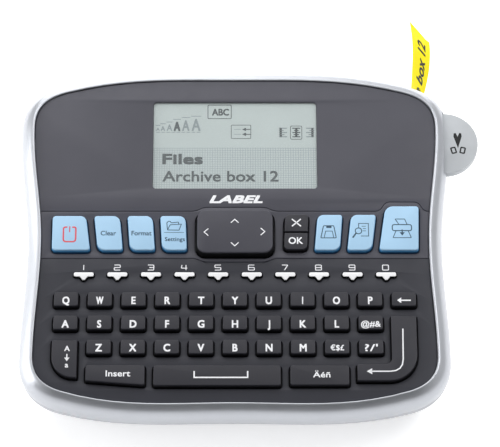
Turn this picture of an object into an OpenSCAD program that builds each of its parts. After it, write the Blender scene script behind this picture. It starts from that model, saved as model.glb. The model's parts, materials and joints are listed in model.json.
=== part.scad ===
// Desktop label maker with a full keyboard, a tape cassette and a side cutter lever.
// X is to the right, Y to the rear, Z up. The origin is on the resting plane, below
// the middle of the face. The face is a plane tilted about X; points on it are given
// as u (right), v (up the slope) and n (out of the face).

/* [Body] */
// Height of the middle of the face above the table
face_z = 41; // [40.5:0.25:43]
// Tilt of the face in degrees
tilt = 11; // [10.5:0.25:11.5]
// Wall thickness of the shells
wall = 2.2; // [1.8:0.1:2.4]
// Thickness of the dark face panels
panel_t = 2; // [1.6:0.1:2]
// Depth of the upper frame below the face
frame_depth = 9.5; // [9:0.25:10]
// Height of the rubber foot ring
foot_h = 1.6; // [1.2:0.1:1.8]

/* [Keys] */
// Distance between neighbouring key columns
key_pitch = 13; // [12.8:0.1:13]
// Width of a letter key at its foot
key_w = 9.7; // [9.2:0.1:10.4]
// Depth of a letter key at its foot
key_d = 6.1; // [5.8:0.1:6.4]
// Height of a letter key above the face
key_h = 2.2; // [1.8:0.1:2.6]
// Height of a function key above the face
function_key_h = 2; // [1.6:0.1:2.4]
// Clearance round each key in its panel
key_gap = 0.35; // [0.3:0.05:0.4]

/* [Display] */
// Width of the display opening
lcd_w = 65; // [62:0.5:66]
// Depth of the display opening along the slope
lcd_d = 38.2; // [36:0.1:38.4]

/* [Drive] */
// Radius of the platen roller
platen_r = 4; // [3.8:0.1:4]
// Width of the label tape
tape_w = 12; // [9:3:12]

/* [Cutter] */
// Radius of the finger tab
tab_r = 13.2; // [12:0.1:13.6]
// Swing of the cutter lever in degrees
cutter_swing = 8; // [6:1:8]

/* [Hidden] */
$fn = 32;

silver = [0.86, 0.87, 0.88];
charcoal = [0.28, 0.28, 0.31];
panel_grey = [0.34, 0.34, 0.38];
key_grey = [0.27, 0.27, 0.3];
sky_blue = [0.69, 0.84, 0.95];
rubber_black = [0.12, 0.12, 0.13];
steel = [0.75, 0.76, 0.78];
pale_plastic = [0.93, 0.93, 0.9];

// ---- outline of the face -------------------------------------------------------
// Right half from the top middle to the bottom middle, each as u, v, heading in
// degrees, length of the curve handles as a share of the chord, and steps to the next.
knots = [
    [0, 69, 0, 0.36, 5],
    [66, 63.8, -15, 0.45, 7],
    [79.6, 48, -90, 0.36, 5],
    [75.4, -4, -90, 0.36, 4],
    [77.3, -50, -90, 0.42, 6],
    [66, -64.4, -163, 0.36, 5],
    [0, -69, -180, 0, 0]
];
function heading(k) = [cos(k[2]), sin(k[2])];
function bezier(a, b, c, d, t) =
    pow(1 - t, 3) * a + 3 * t * pow(1 - t, 2) * b + 3 * t * t * (1 - t) * c + t * t * t * d;
function span(k0, k1, t) =
    let (a = [k0[0], k0[1]], d = [k1[0], k1[1]], h = k0[3] * norm(d - a))
    bezier(a, a + h * heading(k0), d - h * heading(k1), d, t);
half_outline = [
    for (i = [0:len(knots) - 2], s = [0:knots[i][4] - 1])
        span(knots[i], knots[i + 1], s / knots[i][4])
];
// Right half downwards, then its mirror image upwards: one clockwise loop
face_loop = concat(
    half_outline,
    [[0, knots[len(knots) - 1][1]]],
    [for (i = [len(half_outline) - 1:-1:1]) [-half_outline[i][0], half_outline[i][1]]]
);
loop_n = len(face_loop);
function loop_normal(i) =
    let (
        d = face_loop[(i + 1) % loop_n] - face_loop[(i + loop_n - 1) % loop_n],
        q = d / norm(d)
    )
    [-q[1], q[0]];
loop_normals = [for (i = [0:loop_n - 1]) loop_normal(i)];
function outline(grow) = [for (i = [0:loop_n - 1]) face_loop[i] + grow * loop_normals[i]];

// ---- from the face to the row frame ---------------------------------------------
function face_point(p, n) = [
    p[0],
    p[1] * cos(tilt) - n * sin(tilt),
    face_z + p[1] * sin(tilt) + n * cos(tilt)
];
module on_face(n = 0) {
    translate([0, 0, face_z]) rotate([tilt, 0, 0]) translate([0, 0, n]) children();
}

// ---- lofted shells -----------------------------------------------------------------
function quads(rings, count) = [
    for (r = [0:rings - 1], i = [0:count - 1])
        let (a = r * count, b = (r + 1) * count, j = (i + 1) % count)
        each [[a + i, b + i, b + j], [a + i, b + j, a + j]]
];
module loft(rings) {
    count = len(rings[0]);
    last = (len(rings) - 1) * count;
    top_cap = [for (i = [0:count - 1]) i];
    end_cap = [for (i = [count - 1:-1:0]) last + i];
    polyhedron([for (r = rings) each r], concat(quads(len(rings) - 1, count), [top_cap, end_cap]));
}
module loft_loop(rings) {
    count = len(rings[0]);
    closed = concat(rings, [rings[0]]);
    total = len(rings) * count;
    faces = [for (q = quads(len(rings), count)) [for (k = q) k % total]];
    polyhedron([for (r = rings) each r], faces);
}
function frame_ring(grow, n) = [for (p = outline(grow)) face_point(p, n)];

// The lower case tucks in towards the table: more and sooner at the front
base_z = foot_h;
floor_top = 4;
body_half = 72;
front_tuck = 12;
rear_tuck = 5;
front_power = 1.2;
rear_power = 3;
join_grow = 5.4;
seam = 0.3;
function along(y) = sqrt(min(1, max(0, (y + body_half) / (2 * body_half))));
function tuck(y, t) =
    let (a = front_tuck + (rear_tuck - front_tuck) * along(y))
    a * pow(t, front_power + (rear_power - front_power) * along(y));
function case_ring(grow, low, t) = [
    for (i = [0:loop_n - 1])
        let (
            top = face_point(face_loop[i] + grow * loop_normals[i], -frame_depth - seam),
            d = tuck(top[1], t)
        )
        [
            top[0] - d * loop_normals[i][0],
            top[1] - d * loop_normals[i][1],
            top[2] + t * (low - top[2])
        ]
];
function flat_loop(grow) = [
    for (i = [0:loop_n - 1])
        let (
            top = face_point(face_loop[i] + join_grow * loop_normals[i], -frame_depth),
            d = tuck(top[1], 1) - grow
        )
        [top[0] - d * loop_normals[i][0], top[1] - d * loop_normals[i][1]]
];

module slab(size, r, t) {
    // A plate with rounded corners, standing on its underside
    linear_extrude(t) rounded_plan(size, r);
}
module rounded_plan(size, r) {
    offset(r, $fn = 16) square([size[0] - 2 * r, size[1] - 2 * r], center = true);
}
module bay_plate(x0, x1, y0, y1, z0, z1, r) {
    translate([(x0 + x1) / 2, (y0 + y1) / 2, z0]) slab([x1 - x0, y1 - y0], r, z1 - z0);
}

// ---- layout ---------------------------------------------------------------------
// Tape cassette: x0, x1, y0, y1, and its heights
cas = [-12, 65, 5, 52];
cas_z = [5.6, 28.4];
tape_z = 16.8;
spool_at = [12, 28.5];
spool_r = 19.6;
spool_post_r = 4;
// Battery pack
bat = [-66, -22, 8, 52];
bat_z = [5.4, 25];
door_gap = 0.35;
door_z = [base_z + 0.2, 3.8];
ledge_top = 5.2;
cas_door = [-13.5, 68.2, 2.6, 55.2];
bat_door = [-68.4, -19.2, 8, 55.2];
hinge_room = 0.7;
bat_slide = 6;
hinge_at = [-0.6, 3.4];
hinge_r = 1.7;
hinge_len = 52;
pin_r = 1;
running = 0.05;
// Case screws: x, y, height of the seat under the head, top of the lower post
screws = [[45.5, -20.8, 13, 21], [-45.5, -20.8, 13, 21], [42, 59.4, 24, 32], [-42, 59.4, 24, 32]];
screw_r = 1.2;
screw_len = 16;
screw_head_r = 2.6;
screw_head_t = 1.8;
cross_len = 3.4;
cross_w = 0.7;
boss_r = 2.2;
post_r = 4.2;
// Gears: module, heights, centres and teeth
gear_m = 0.6;
gear_z = [29.2, 32.2];
platen_at = [70.5, 22];
idler_at = [57.9, 7.5];
platen_teeth = 24;
idler_teeth = 40;
pinion_teeth = 12;
takeup_teeth = 30;
function gear_distance(a, b) = gear_m * (a + b) / 2;
pinion_at = idler_at + gear_distance(pinion_teeth, idler_teeth) * [cos(243.8), sin(243.8)];
takeup_at = idler_at + gear_distance(takeup_teeth, idler_teeth) * [cos(156.8), sin(156.8)];
plate_z = [32.9, 34.4];
plate_outline = [
    [28, 5], [76, 5], [77, 30], [76, 53], [69, 53], [69, 61.2], [58, 61.2], [50, 51], [28, 47]
];
pillars = [[46, 19], [46, 46], [73, 29.5]];
pillar_r = 2;
lug_t = 2;
axle_r = 1.5;
pinion_w = 2;
motor_r = 9;
motor_z = [5.4, 28.4];
motor_cup_h = 9;
bush_r = 2.6;
// Print head
head_pivot = [57, 38];
// Cutter
cutter_axis = [64, 38];
cutter_y = [35, 61];
tab_v = 43;
tab_u = 83.6;
tab_notch_u = 82.8;
tab_n = [-7.4, -4];
blade_y = 57.6;
blade_z = 10;
blade_edge_x = 68.75;
blade_w = 3.2;
blade_h = 14;
blade_t = 0.3;
blade_arm_x = 70.2;
blade_arm = [2, 1.6, 29];
// Inlet
jack_x = -54;
jack_y = 55.6;
jack_z = 14;
jack_r = 2.85;
jack_pin_r = 1;
barrel_r = 3.45;

// ---- face features ----------------------------------------------------------------
lcd_v = 40.3;
lcd_r = 1.4;
glass_n = -0.95;
window_n = [-0.8, -0.2];
band_top = 11.1;
band_bottom = -9;
band_bend = 1.6;
band_points = [
    [-95, band_top], [-15.3, band_top], [-12.2, 12.8], [12.2, 12.8], [15.3, band_top],
    [56.6, band_top], [59.2, 15.1], [71.8, 15.1], [74, band_top], [95, band_top],
    [95, band_bottom], [15, band_bottom], [12.2, -10.5], [-12.2, -10.5], [-15, band_bottom],
    [-95, band_bottom]
];
panel_split = 0.12;
letter_v = [-27.25, -37, -47];
number_v = -16.3;
first_column = -5 * key_pitch;
function column(i) = first_column + i * key_pitch;
flange = 0.7;
flange_t = 0.8;
flange_n = -panel_t - 0.15;
mat_n = [-5.3, -4.2];
board_n = [-7, -5.4];

module letter_plan() { rounded_plan([key_w, key_d], 0.9); }
module letters(row, from, to) {
    for (i = [from:to]) translate([column(i), letter_v[row]]) children();
}
module number_plan() {
    rounded_plan([7.8, 1.8], 0.7);
    polygon([[-1.7, -0.7], [1.7, -0.7], [0.4, -2.4], [-0.4, -2.4]]);
}
module numbers() {
    for (i = [0:9]) translate([column(i) + key_pitch / 2, number_v]) children();
}
corner_steps = 6;
corner_pull = 0.45;
function unit(v) = v / norm(v);
// Points that round the corner p, which reaches r along the directions a and b
function corner(p, a, b, r) = [
    for (i = [0:corner_steps])
        bezier(p + r * a, p + corner_pull * r * a, p + corner_pull * r * b, p + r * b,
            i / corner_steps)
];
function round_bends(points, r) = [
    for (i = [0:len(points) - 1])
        let (
            p = points[i],
            before = points[(i + len(points) - 1) % len(points)],
            after = points[(i + 1) % len(points)]
        )
        each corner(p, unit(before - p), unit(after - p), r)
];
module quad_plan(a, b, c, d, v_top, v_low, radii) {
    // A key with slanted sides: left and right ends of its top, then of its bottom edge,
    // and the radii of its corners, clockwise from the top left
    p = [[a, v_top], [b, v_top], [d, v_low], [c, v_low]];
    polygon([
        for (i = [0:3])
            each corner(p[i], unit(p[(i + 3) % 4] - p[i]), unit(p[(i + 1) % 4] - p[i]), radii[i])
    ]);
}
// Left function keys lean one way and right ones the other, and so do their corners
left_radii = [1.2, 2.6, 1.2, 2.8];
right_radii = [2.4, 1.1, 2.8, 1.2];
function arc(c, r, a0, a1, steps) =
    [for (i = [0:steps]) c + r * [cos(a0 + (a1 - a0) * i / steps), sin(a0 + (a1 - a0) * i / steps)]];
module power_plan() { quad_plan(-71.3, -58.1, -71.3, -56.2, 8.4, -6.7, [1.3, 2.2, 1.3, 1.6]); }
module clear_plan() { quad_plan(-55.1, -44.9, -53.4, -43.5, 8.4, -6.7, left_radii); }
module format_plan() { quad_plan(-42.1, -32.1, -40.9, -31, 8.4, -6.7, left_radii); }
module settings_plan() { quad_plan(-29.3, -19.2, -28.4, -18.6, 8.4, -6.7, left_radii); }
module save_plan() { quad_plan(32.2, 42.1, 30.8, 40.8, 8.9, -6.7, right_radii); }
module preview_plan() { quad_plan(45.3, 55.2, 43.5, 53.2, 8.9, -6.7, right_radii); }
module print_plan() { quad_plan(58.8, 72, 55.9, 71.4, 12.6, -6.7, [3, 1.1, 1.2, 1.5]); }
module cancel_plan() { quad_plan(19.4, 28.8, 19.1, 28.5, 8.8, 1.35, [2, 1.2, 0.3, 0.3]); }
module ok_plan() { quad_plan(19.1, 28.5, 18.8, 28.2, 0.95, -6.3, [0.3, 0.3, 2, 1.8]); }
nav_v = 0.9;
module nav_plan() { translate([0, nav_v]) rounded_plan([30.2, 19], 3.6); }
module shift_plan() {
    foot = arc([-61.4, -51], 8.7, 180, 270, 8);
    polygon(concat([[-60, -59.7], [-60, -44.2], [-70.1, -44.2]], foot));
}
module insert_plan() {
    offset(0.8, $fn = 16) offset(delta = -0.8)
        polygon([[-57, -54.4], [-34.1, -54.4], [-34.1, -62.8], [-57, -60.9]]);
}
module space_plan() { translate([-6.8, -58.7]) rounded_plan([48.8, 8.5], 0.9); }
module accent_plan() { translate([32.2, -58.6]) rounded_plan([22.8, 8.3], 0.9); }
module enter_plan() {
    outer = arc([58.7, -50], 11, 0, -90, 10);
    inner = arc([57.2, -51.7], 2.6, -90, 0, 4);
    polygon(concat([[59.8, -34.2], [69.7, -34.2]], outer, [[46.3, -61], [46.3, -54.3]], inner));
}
module backspace_plan() { translate([column(10), letter_v[0]]) letter_plan(); }
module symbol_plan() { translate([column(9), letter_v[1]]) letter_plan(); }
module currency_plan() { translate([column(8), letter_v[2]]) letter_plan(); }
module punctuation_plan() { translate([column(9), letter_v[2]]) letter_plan(); }

// A key cap: the cap itself, and a flange under the panel that keeps it in
module key_body(height, rim = flange) {
    on_face(flange_n) linear_extrude(height - flange_n) children();
    on_face(flange_n - flange_t) linear_extrude(flange_t) offset(delta = rim) children();
}
module dark_key(height = key_h) { color(key_grey) key_body(height) children(); }
module blue_key() { color(sky_blue) key_body(function_key_h) children(); }

module band_openings() {
    power_plan();
    clear_plan();
    format_plan();
    settings_plan();
    save_plan();
    preview_plan();
    print_plan();
    hull() {
        cancel_plan();
        ok_plan();
    }
}
module keyboard_openings() {
    letters(0, 0, 10) letter_plan();
    letters(1, 0, 9) letter_plan();
    letters(2, 1, 9) letter_plan();
    numbers() number_plan();
    shift_plan();
    insert_plan();
    space_plan();
    accent_plan();
    enter_plan();
}
// ---- face panels ------------------------------------------------------------------
module panel_edge() { polygon(outline(-0.12)); }
module display_panel() {
    color(panel_grey) {
        on_face(-panel_t) linear_extrude(panel_t) difference() {
            intersection() {
                panel_edge();
                translate([-95, 0]) square([190, 80]);
            }
            offset(delta = panel_split) polygon(round_bends(band_points, band_bend));
            translate([-95, -1]) square([190, band_top + panel_split]);
            translate([0, lcd_v]) rounded_plan([lcd_w, lcd_d], lcd_r);
        }
        panel_bosses(screws[2][3], [screws[2], screws[3]]);
    }
}
module function_panel() {
    color(panel_grey) on_face(-panel_t) linear_extrude(panel_t) difference() {
        intersection() {
            panel_edge();
            polygon(round_bends(band_points, band_bend));
        }
        offset(key_gap) band_openings();
        offset(0.5) nav_plan();
    }
}
module keyboard_panel() {
    color(charcoal) {
        on_face(-panel_t) linear_extrude(panel_t) difference() {
            panel_edge();
            translate([-95, band_bottom - panel_split]) square([190, 100]);
            offset(delta = panel_split) polygon(round_bends(band_points, band_bend));
            offset(key_gap) keyboard_openings();
        }
        panel_bosses(screws[0][3], [screws[0], screws[1]]);
    }
}
function panel_underside(y) = face_z + (y * sin(tilt) - panel_t) / cos(tilt);
module panel_bosses(low, list) {
    // Screw bosses that hang from the underside of a panel
    for (s = list) {
        top = panel_underside(s[1]) + 0.3;
        translate([s[0], s[1], low + 0.2]) difference() {
            cylinder(r = boss_r, h = top - low - 0.2);
            translate([0, 0, -1]) cylinder(r = screw_r + running, h = 10.5);
        }
    }
}

// ---- shells ----------------------------------------------------------------------
frame_section = [
    [-2.6, -4.4], [-2.6, -2.1], [0.05, -2.1], [0.05, 0.7], [0.9, 1.35], [2.6, 1.3],
    [4.1, 0.5], [5, -1.2], [5.7, -4.2], [5.7, -7], [5.4, -9.5], [3.2, -9.5], [3.1, -4.4]
];
module tab_slot(low) {
    // The gap in the right wall that the cutter lever swings in
    gap = 0.6;
    on_face(low) {
        translate([74, tab_v - tab_r - gap]) cube([20, 2 * (tab_r + gap), tab_n[1] - low + gap]);
        translate([tab_notch_u, tab_v - tab_r - gap]) cube([12, 2 * (tab_r + gap), 20]);
    }
}
module upper_frame() {
    color(silver) difference() {
        loft_loop([for (s = frame_section) frame_ring(s[0], s[1])]);
        tab_slot(-frame_depth - 2);
    }
}

case_steps = [0, 0.2, 0.42, 0.62, 0.8, 0.92, 1];
module case_tub() {
    difference() {
        loft([for (t = case_steps) case_ring(join_grow, base_z, t)]);
        translate([0, 0, 0.01])
            loft([for (t = case_steps) case_ring(join_grow - wall, floor_top, t)]);
    }
}
module screw_posts() {
    for (s = screws) translate([s[0], s[1], floor_top]) cylinder(r = post_r, h = s[3] - floor_top);
}
module screw_cuts() {
    for (s = screws) translate([s[0], s[1], 0]) {
        cylinder(r = screw_head_r + 0.3, h = s[2]);
        cylinder(r = screw_r + 0.3, h = s[3] + 1);
    }
}
module bay_frame(b, inset) {
    // Ledge round a door opening, above the floor
    difference() {
        bay_plate(b[0] - 2, b[1] + 1.8, b[2] - 2.5, b[3] + 1.5, floor_top - 0.2, ledge_top, 3);
        bay_plate(b[0] + inset[0], b[1] - inset[1], b[2] + inset[2], b[3] - inset[3], 3, 6, 2);
    }
}
// Knuckles take turns along the hinge line: one of the case, then one of the door
knuckle_step = 18;
knuckle_w = 8;
door_knuckle_x = -2;
case_knuckle_x = door_knuckle_x - knuckle_w - 0.2;
module knuckles(x) {
    for (i = [0:2]) translate([x + i * knuckle_step, hinge_at[0], hinge_at[1]])
        rotate([0, 90, 0]) cylinder(r = hinge_r, h = knuckle_w);
}
module hinge_cut() {
    // Room for the door's knuckles to turn in
    for (i = [0:2]) translate([door_knuckle_x - 0.3 + i * knuckle_step, hinge_at[0] - 2.4, 0])
        cube([knuckle_w + 0.6, 5.3, 6.4]);
}
module lower_case() {
    color(charcoal) difference() {
        union() {
            difference() {
                case_tub();
                bay_plate(cas_door[0] - door_gap, cas_door[1] + door_gap, cas_door[2] - hinge_room,
                    cas_door[3] + door_gap, 0, floor_top + 0.05, 3.3);
                bay_plate(bat_door[0] - door_gap, bat_door[1] + door_gap,
                    bat_door[2] - bat_slide - door_gap - 0.3, bat_door[3] + door_gap, 0,
                    floor_top + 0.05, 3.3);
            }
            intersection() {
                union() {
                    bay_frame(cas_door, [1.2, 2.8, 2, 2.8]);
                    bay_frame([bat_door[0], bat_door[1], 2, bat_door[3]], [1.9, 2.3, 5.4, 2.8]);
                    screw_posts();
                }
                loft([for (t = case_steps) case_ring(join_grow - 1, base_z, t)]);
            }
            knuckles(case_knuckle_x);
            translate([pinion_at[0], pinion_at[1], floor_top]) difference() {
                cylinder(r = motor_r + 1.4, h = motor_cup_h);
                cylinder(r = motor_r + 0.1, h = motor_cup_h + 1);
            }
            translate([platen_at[0], platen_at[1], floor_top]) cylinder(r = bush_r, h = 3);
        }
        hinge_cut();
        screw_cuts();
        translate([case_knuckle_x - 1, hinge_at[0], hinge_at[1]]) rotate([0, 90, 0])
            cylinder(r = pin_r + running, h = hinge_len + 2);
        translate([platen_at[0], platen_at[1], floor_top + 0.8])
            cylinder(r = axle_r + running, h = 4);
        translate([jack_x, jack_y, jack_z]) rotate([-90, 0, 0]) cylinder(r = barrel_r + 0.15, h = 30);
        translate([tape_exit[0], tape_exit[1], tape_z]) rotate([0, 0, -exit_angle])
            cube([3.4, 14, tape_w + 2], center = true);
        tab_slot(-frame_depth - 2);
    }
}

// Foot ring: a closed strip just inside the edge of the base
module foot_ring() {
    color(rubber_black) linear_extrude(foot_h) difference() {
        polygon(flat_loop(-1.4));
        polygon(flat_loop(-4));
    }
}
module case_screws() {
    color(steel) for (s = screws) translate([s[0], s[1], s[2]]) {
        cylinder(r = screw_r, h = screw_len);
        difference() {
            translate([0, 0, -screw_head_t]) cylinder(r = screw_head_r, h = screw_head_t);
            for (a = [0, 90]) rotate([0, 0, a]) translate([0, 0, -screw_head_t])
                cube([cross_len, cross_w, screw_head_t], center = true);
        }
    }
}

// ---- doors ----------------------------------------------------------------------
grip_step = 2.4;
grip_r = 0.5;
grip_len = 16;
grip_edge = 6;
module door_grip(x, y) {
    // Three shallow finger grooves
    for (i = [-1:1]) translate([x, y + i * grip_step, door_z[0]]) rotate([0, 90, 0])
        cylinder(r = grip_r, h = grip_len, center = true);
}
module cassette_door() {
    color(charcoal) difference() {
        union() {
            bay_plate(cas_door[0], cas_door[1], cas_door[2], cas_door[3], door_z[0], door_z[1], 3);
            knuckles(door_knuckle_x);
            for (i = [0:2]) translate([door_knuckle_x + i * knuckle_step, hinge_at[0], door_z[0]])
                cube([knuckle_w, cas_door[2] - hinge_at[0] + 1, door_z[1] - door_z[0]]);
        }
        translate([case_knuckle_x - 1, hinge_at[0], hinge_at[1]]) rotate([0, 90, 0])
            cylinder(r = pin_r + running, h = hinge_len + 4);
        door_grip((cas_door[0] + cas_door[1]) / 2, cas_door[3] - grip_edge);
    }
}
module cassette_door_pin() {
    color(steel) translate([case_knuckle_x, hinge_at[0], hinge_at[1]]) rotate([0, 90, 0])
        cylinder(r = pin_r, h = hinge_len);
}
module battery_door() {
    color(charcoal) difference() {
        bay_plate(bat_door[0], bat_door[1], bat_door[2], bat_door[3], door_z[0], door_z[1], 3);
        door_grip((bat_door[0] + bat_door[1]) / 2, bat_door[2] + grip_edge);
    }
}

// ---- power ------------------------------------------------------------------------
// Three spring contacts beside the pack: place, spacing, width and thickness
contact_y = 30.5;
contact_z = 8;
contact_step = 6;
contact_w = 2;
contact_t = 0.4;
contact_h = 12;
module battery_pack() {
    color([0.2, 0.2, 0.22]) difference() {
        bay_plate(bat[0], bat[1], bat[2], bat[3], bat_z[0], bat_z[1], 2);
        for (i = [-1:1]) translate([bat[1] - 0.8, contact_y + i * contact_step - 0.5, contact_z + 4])
            cube([2, contact_w + 1, 9]);
    }
}
module battery_contacts() {
    reach = 3.4;
    color([0.85, 0.7, 0.35]) for (i = [-1:1])
        translate([bat[1] + 0.1, contact_y + i * contact_step, contact_z]) {
            cube([contact_t, contact_w, contact_h]);
            translate([0, 0, contact_h - contact_t]) cube([reach, contact_w, contact_t]);
            translate([reach - contact_t, 0, contact_h / 2]) cube([contact_t, contact_w, contact_h / 2]);
        }
}
module dc_jack() {
    // A square block with a round barrel that ends in the rear wall
    block_w = 9.2;
    block_h = 10;
    block_len = 8.4;
    back_t = 1.6;
    barrel_len = 3.6;
    color([0.1, 0.1, 0.11]) translate([jack_x, jack_y, jack_z]) rotate([-90, 0, 0]) {
        difference() {
            translate([-block_w / 2, -block_h / 2, 0]) cube([block_w, block_h, block_len]);
            translate([0, 0, back_t]) cylinder(r = jack_r, h = block_len);
        }
        cylinder(r = jack_pin_r, h = block_len - 0.4);
        translate([0, 0, block_len]) difference() {
            cylinder(r = barrel_r, h = barrel_len);
            translate([0, 0, -1]) cylinder(r = jack_r, h = barrel_len + 2);
        }
    }
}

// ---- boards -----------------------------------------------------------------------
module board_plan(inset) {
    difference() {
        intersection() {
            polygon(outline(-inset));
            translate([-90, -90]) square([180, 102.2]);
        }
        for (s = [screws[0], screws[1]]) translate([s[0], s[1] / cos(tilt) - 1.1]) circle(r = 3);
    }
}
module main_board() {
    color([0.12, 0.4, 0.24]) on_face(board_n[0]) linear_extrude(board_n[1] - board_n[0])
        board_plan(6.5);
}
module keypad_mat() {
    color([0.62, 0.64, 0.66]) on_face(mat_n[0]) linear_extrude(mat_n[1] - mat_n[0])
        board_plan(6);
}

// ---- display ----------------------------------------------------------------------
module lcd_window() {
    color([0.72, 0.76, 0.74]) on_face(window_n[0]) translate([0, lcd_v])
        linear_extrude(window_n[1] - window_n[0]) rounded_plan([lcd_w - 0.2, lcd_d - 0.2], lcd_r - 0.1);
}
module lcd_glass() {
    // A plate behind the panel, with a step that fills the opening below the window
    color([0.66, 0.7, 0.69]) {
        on_face(-4.6) translate([0, lcd_v]) linear_extrude(2.4) square([70, 42], center = true);
        on_face(-2.5) translate([0, lcd_v])
            linear_extrude(2.5 + glass_n) rounded_plan([lcd_w - 0.2, lcd_d - 0.2], lcd_r - 0.1);
    }
}
module lcd_holder() {
    color(pale_plastic) on_face(-5.8) translate([0, lcd_v]) difference() {
        linear_extrude(3.6) rounded_plan([74, 46], 1.5);
        translate([0, 0, 1.1]) linear_extrude(4) square([70.3, 42.3], center = true);
    }
}

// ---- drive ------------------------------------------------------------------------
pressure_angle = 25;
backlash = 0.12;
function involute(a) = tan(a) * 180 / PI - a;
function flank_angle(teeth, r) =
    let (
        pitch = gear_m * teeth / 2,
        base = pitch * cos(pressure_angle),
        a = r > base ? acos(base / r) : 0
    )
    90 / teeth - backlash / pitch * 45 / PI + involute(pressure_angle) - involute(a);
function tooth(teeth, k, phase) =
    let (
        pitch = gear_m * teeth / 2,
        radii = [pitch - 1.15 * gear_m, pitch - 0.5 * gear_m, pitch, pitch + 0.8 * gear_m],
        mid = phase + k * 360 / teeth
    )
    concat(
        [for (r = radii) let (a = mid - flank_angle(teeth, r)) r * [cos(a), sin(a)]],
        [for (i = [3:-1:0]) let (r = radii[i], a = mid + flank_angle(teeth, r)) r * [cos(a), sin(a)]]
    );
module gear_plan(teeth, phase) {
    polygon([for (k = [0:teeth - 1]) each tooth(teeth, k, phase)]);
}
// Turns a gear so that its teeth meet the gaps of the gear it runs with
function mesh_phase(teeth, phase, next, beta) =
    beta + 180 + (teeth * (beta - phase) - 180) / next;
function bearing(a, b) = atan2(b[1] - a[1], b[0] - a[0]);
idler_phase = 0;
function follower_phase(at, teeth) =
    mesh_phase(idler_teeth, idler_phase, teeth, bearing(idler_at, at));
module gear(at, teeth, phase, bore, face = gear_z[1] - gear_z[0]) {
    translate([at[0], at[1], gear_z[0]]) linear_extrude(face) difference() {
        gear_plan(teeth, phase);
        circle(r = bore);
    }
}
module motor_pinion() {
    color([0.8, 0.68, 0.35])
        gear(pinion_at, pinion_teeth, follower_phase(pinion_at, pinion_teeth), 1, pinion_w);
}
module idler_gear() { color(pale_plastic) gear(idler_at, idler_teeth, idler_phase, axle_r + running); }
module platen_gear() {
    color(pale_plastic) {
        gear(platen_at, platen_teeth, follower_phase(platen_at, platen_teeth), 0.4);
        translate([platen_at[0], platen_at[1], floor_top + 1]) cylinder(r = axle_r, h = 30);
    }
}
module platen_roller() {
    color([0.16, 0.16, 0.17]) translate([platen_at[0], platen_at[1], 8]) difference() {
        cylinder(r = platen_r, h = 18);
        translate([0, 0, -1]) cylinder(r = axle_r, h = 20);
    }
}
module takeup_gear() {
    color(pale_plastic) {
        gear(takeup_at, takeup_teeth, follower_phase(takeup_at, takeup_teeth), axle_r + running);
        translate([takeup_at[0], takeup_at[1], 10]) difference() {
            cylinder(r = 2.6, h = gear_z[0] - 10);
            translate([0, 0, gear_z[0] - 16]) cylinder(r = axle_r + running, h = 8);
        }
        for (k = [0:5]) translate([takeup_at[0], takeup_at[1], 10]) rotate([0, 0, k * 60])
            translate([2.3, -0.4, 0]) cube([0.8, 0.8, 16]);
    }
}
module takeup_spool() {
    color([0.15, 0.15, 0.2]) translate([takeup_at[0], takeup_at[1], 9.5]) difference() {
        cylinder(r = 6, h = 15);
        translate([0, 0, -1]) cylinder(r = 3.4, h = 17);
    }
}
module motor() {
    color(steel) translate([pinion_at[0], pinion_at[1], motor_z[0]]) {
        cylinder(r = motor_r, h = motor_z[1] - motor_z[0]);
        cylinder(r = 0.95, h = gear_z[0] + pinion_w - motor_z[0]);
    }
}
module axle_pin(at, low) {
    translate([at[0], at[1], low]) cylinder(r = axle_r, h = plate_z[0] - low + 0.5);
}
module chassis() {
    color([0.55, 0.57, 0.6]) {
        translate([0, 0, plate_z[0]]) linear_extrude(plate_z[1] - plate_z[0]) difference() {
            polygon(plate_outline);
            translate(platen_at) circle(r = axle_r + running);
        }
        axle_pin(idler_at, gear_z[0] - 0.5);
        axle_pin(takeup_at, gear_z[0] - 0.5);
        axle_pin(head_pivot, 7);
        // Pillars that hang the plate from the display panel
        for (at = pillars) translate([at[0], at[1], plate_z[1] - 0.5])
            cylinder(r = pillar_r, h = panel_underside(at[1] - pillar_r) - plate_z[1] + 0.5);
        // Lugs that hold the cutter's pivot pin
        for (y = [cutter_y[0] - 2.4, cutter_y[1] - 2.2]) translate([cutter_axis[0], y, 0]) difference() {
            translate([-bush_r, 0, plate_z[0]])
                cube([2 * bush_r, lug_t, cutter_axis[1] - plate_z[0] + bush_r]);
            translate([0, -1, cutter_axis[1]]) rotate([-90, 0, 0])
                cylinder(r = pin_r + running, h = lug_t + 2);
        }
    }
}

// ---- cassette and tape ----------------------------------------------------------------
module cassette_shell() {
    color([0.2, 0.2, 0.22]) difference() {
        union() {
            difference() {
                bay_plate(cas[0], cas[1], cas[2], cas[3], cas_z[0], cas_z[1], 3);
                bay_plate(cas[0] + 1.3, cas[1] - 1.3, cas[2] + 1.3, cas[3] - 1.3,
                    cas_z[0] + 1.3, cas_z[1] - 1.3, 2);
            }
            translate([spool_at[0], spool_at[1], cas_z[0] + 1]) cylinder(r = spool_post_r - 0.06, h = 18.5);
        }
        // Mouth for the print head, open above and below and to the right
        translate([49, 8.8, 0]) cube([20, 38, 40]);
        // Corner where the tape comes out
        translate([58, cas[2] + 1.8, tape_z - tape_w / 2 - 1]) cube([10, 8, tape_w + 2]);
        translate([takeup_at[0], takeup_at[1], 0]) cylinder(r = 4.6, h = 40);
    }
}
module tape_spool() {
    color([0.95, 0.9, 0.2]) translate([spool_at[0], spool_at[1], tape_z - tape_w / 2]) difference() {
        cylinder(r = spool_r, h = tape_w);
        translate([0, 0, -1]) cylinder(r = spool_post_r, h = tape_w + 2);
    }
}
tape_t = 0.16;
exit_angle = 13.4;
tape_exit = [70.4, 67];
feed_y = 8;
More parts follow.
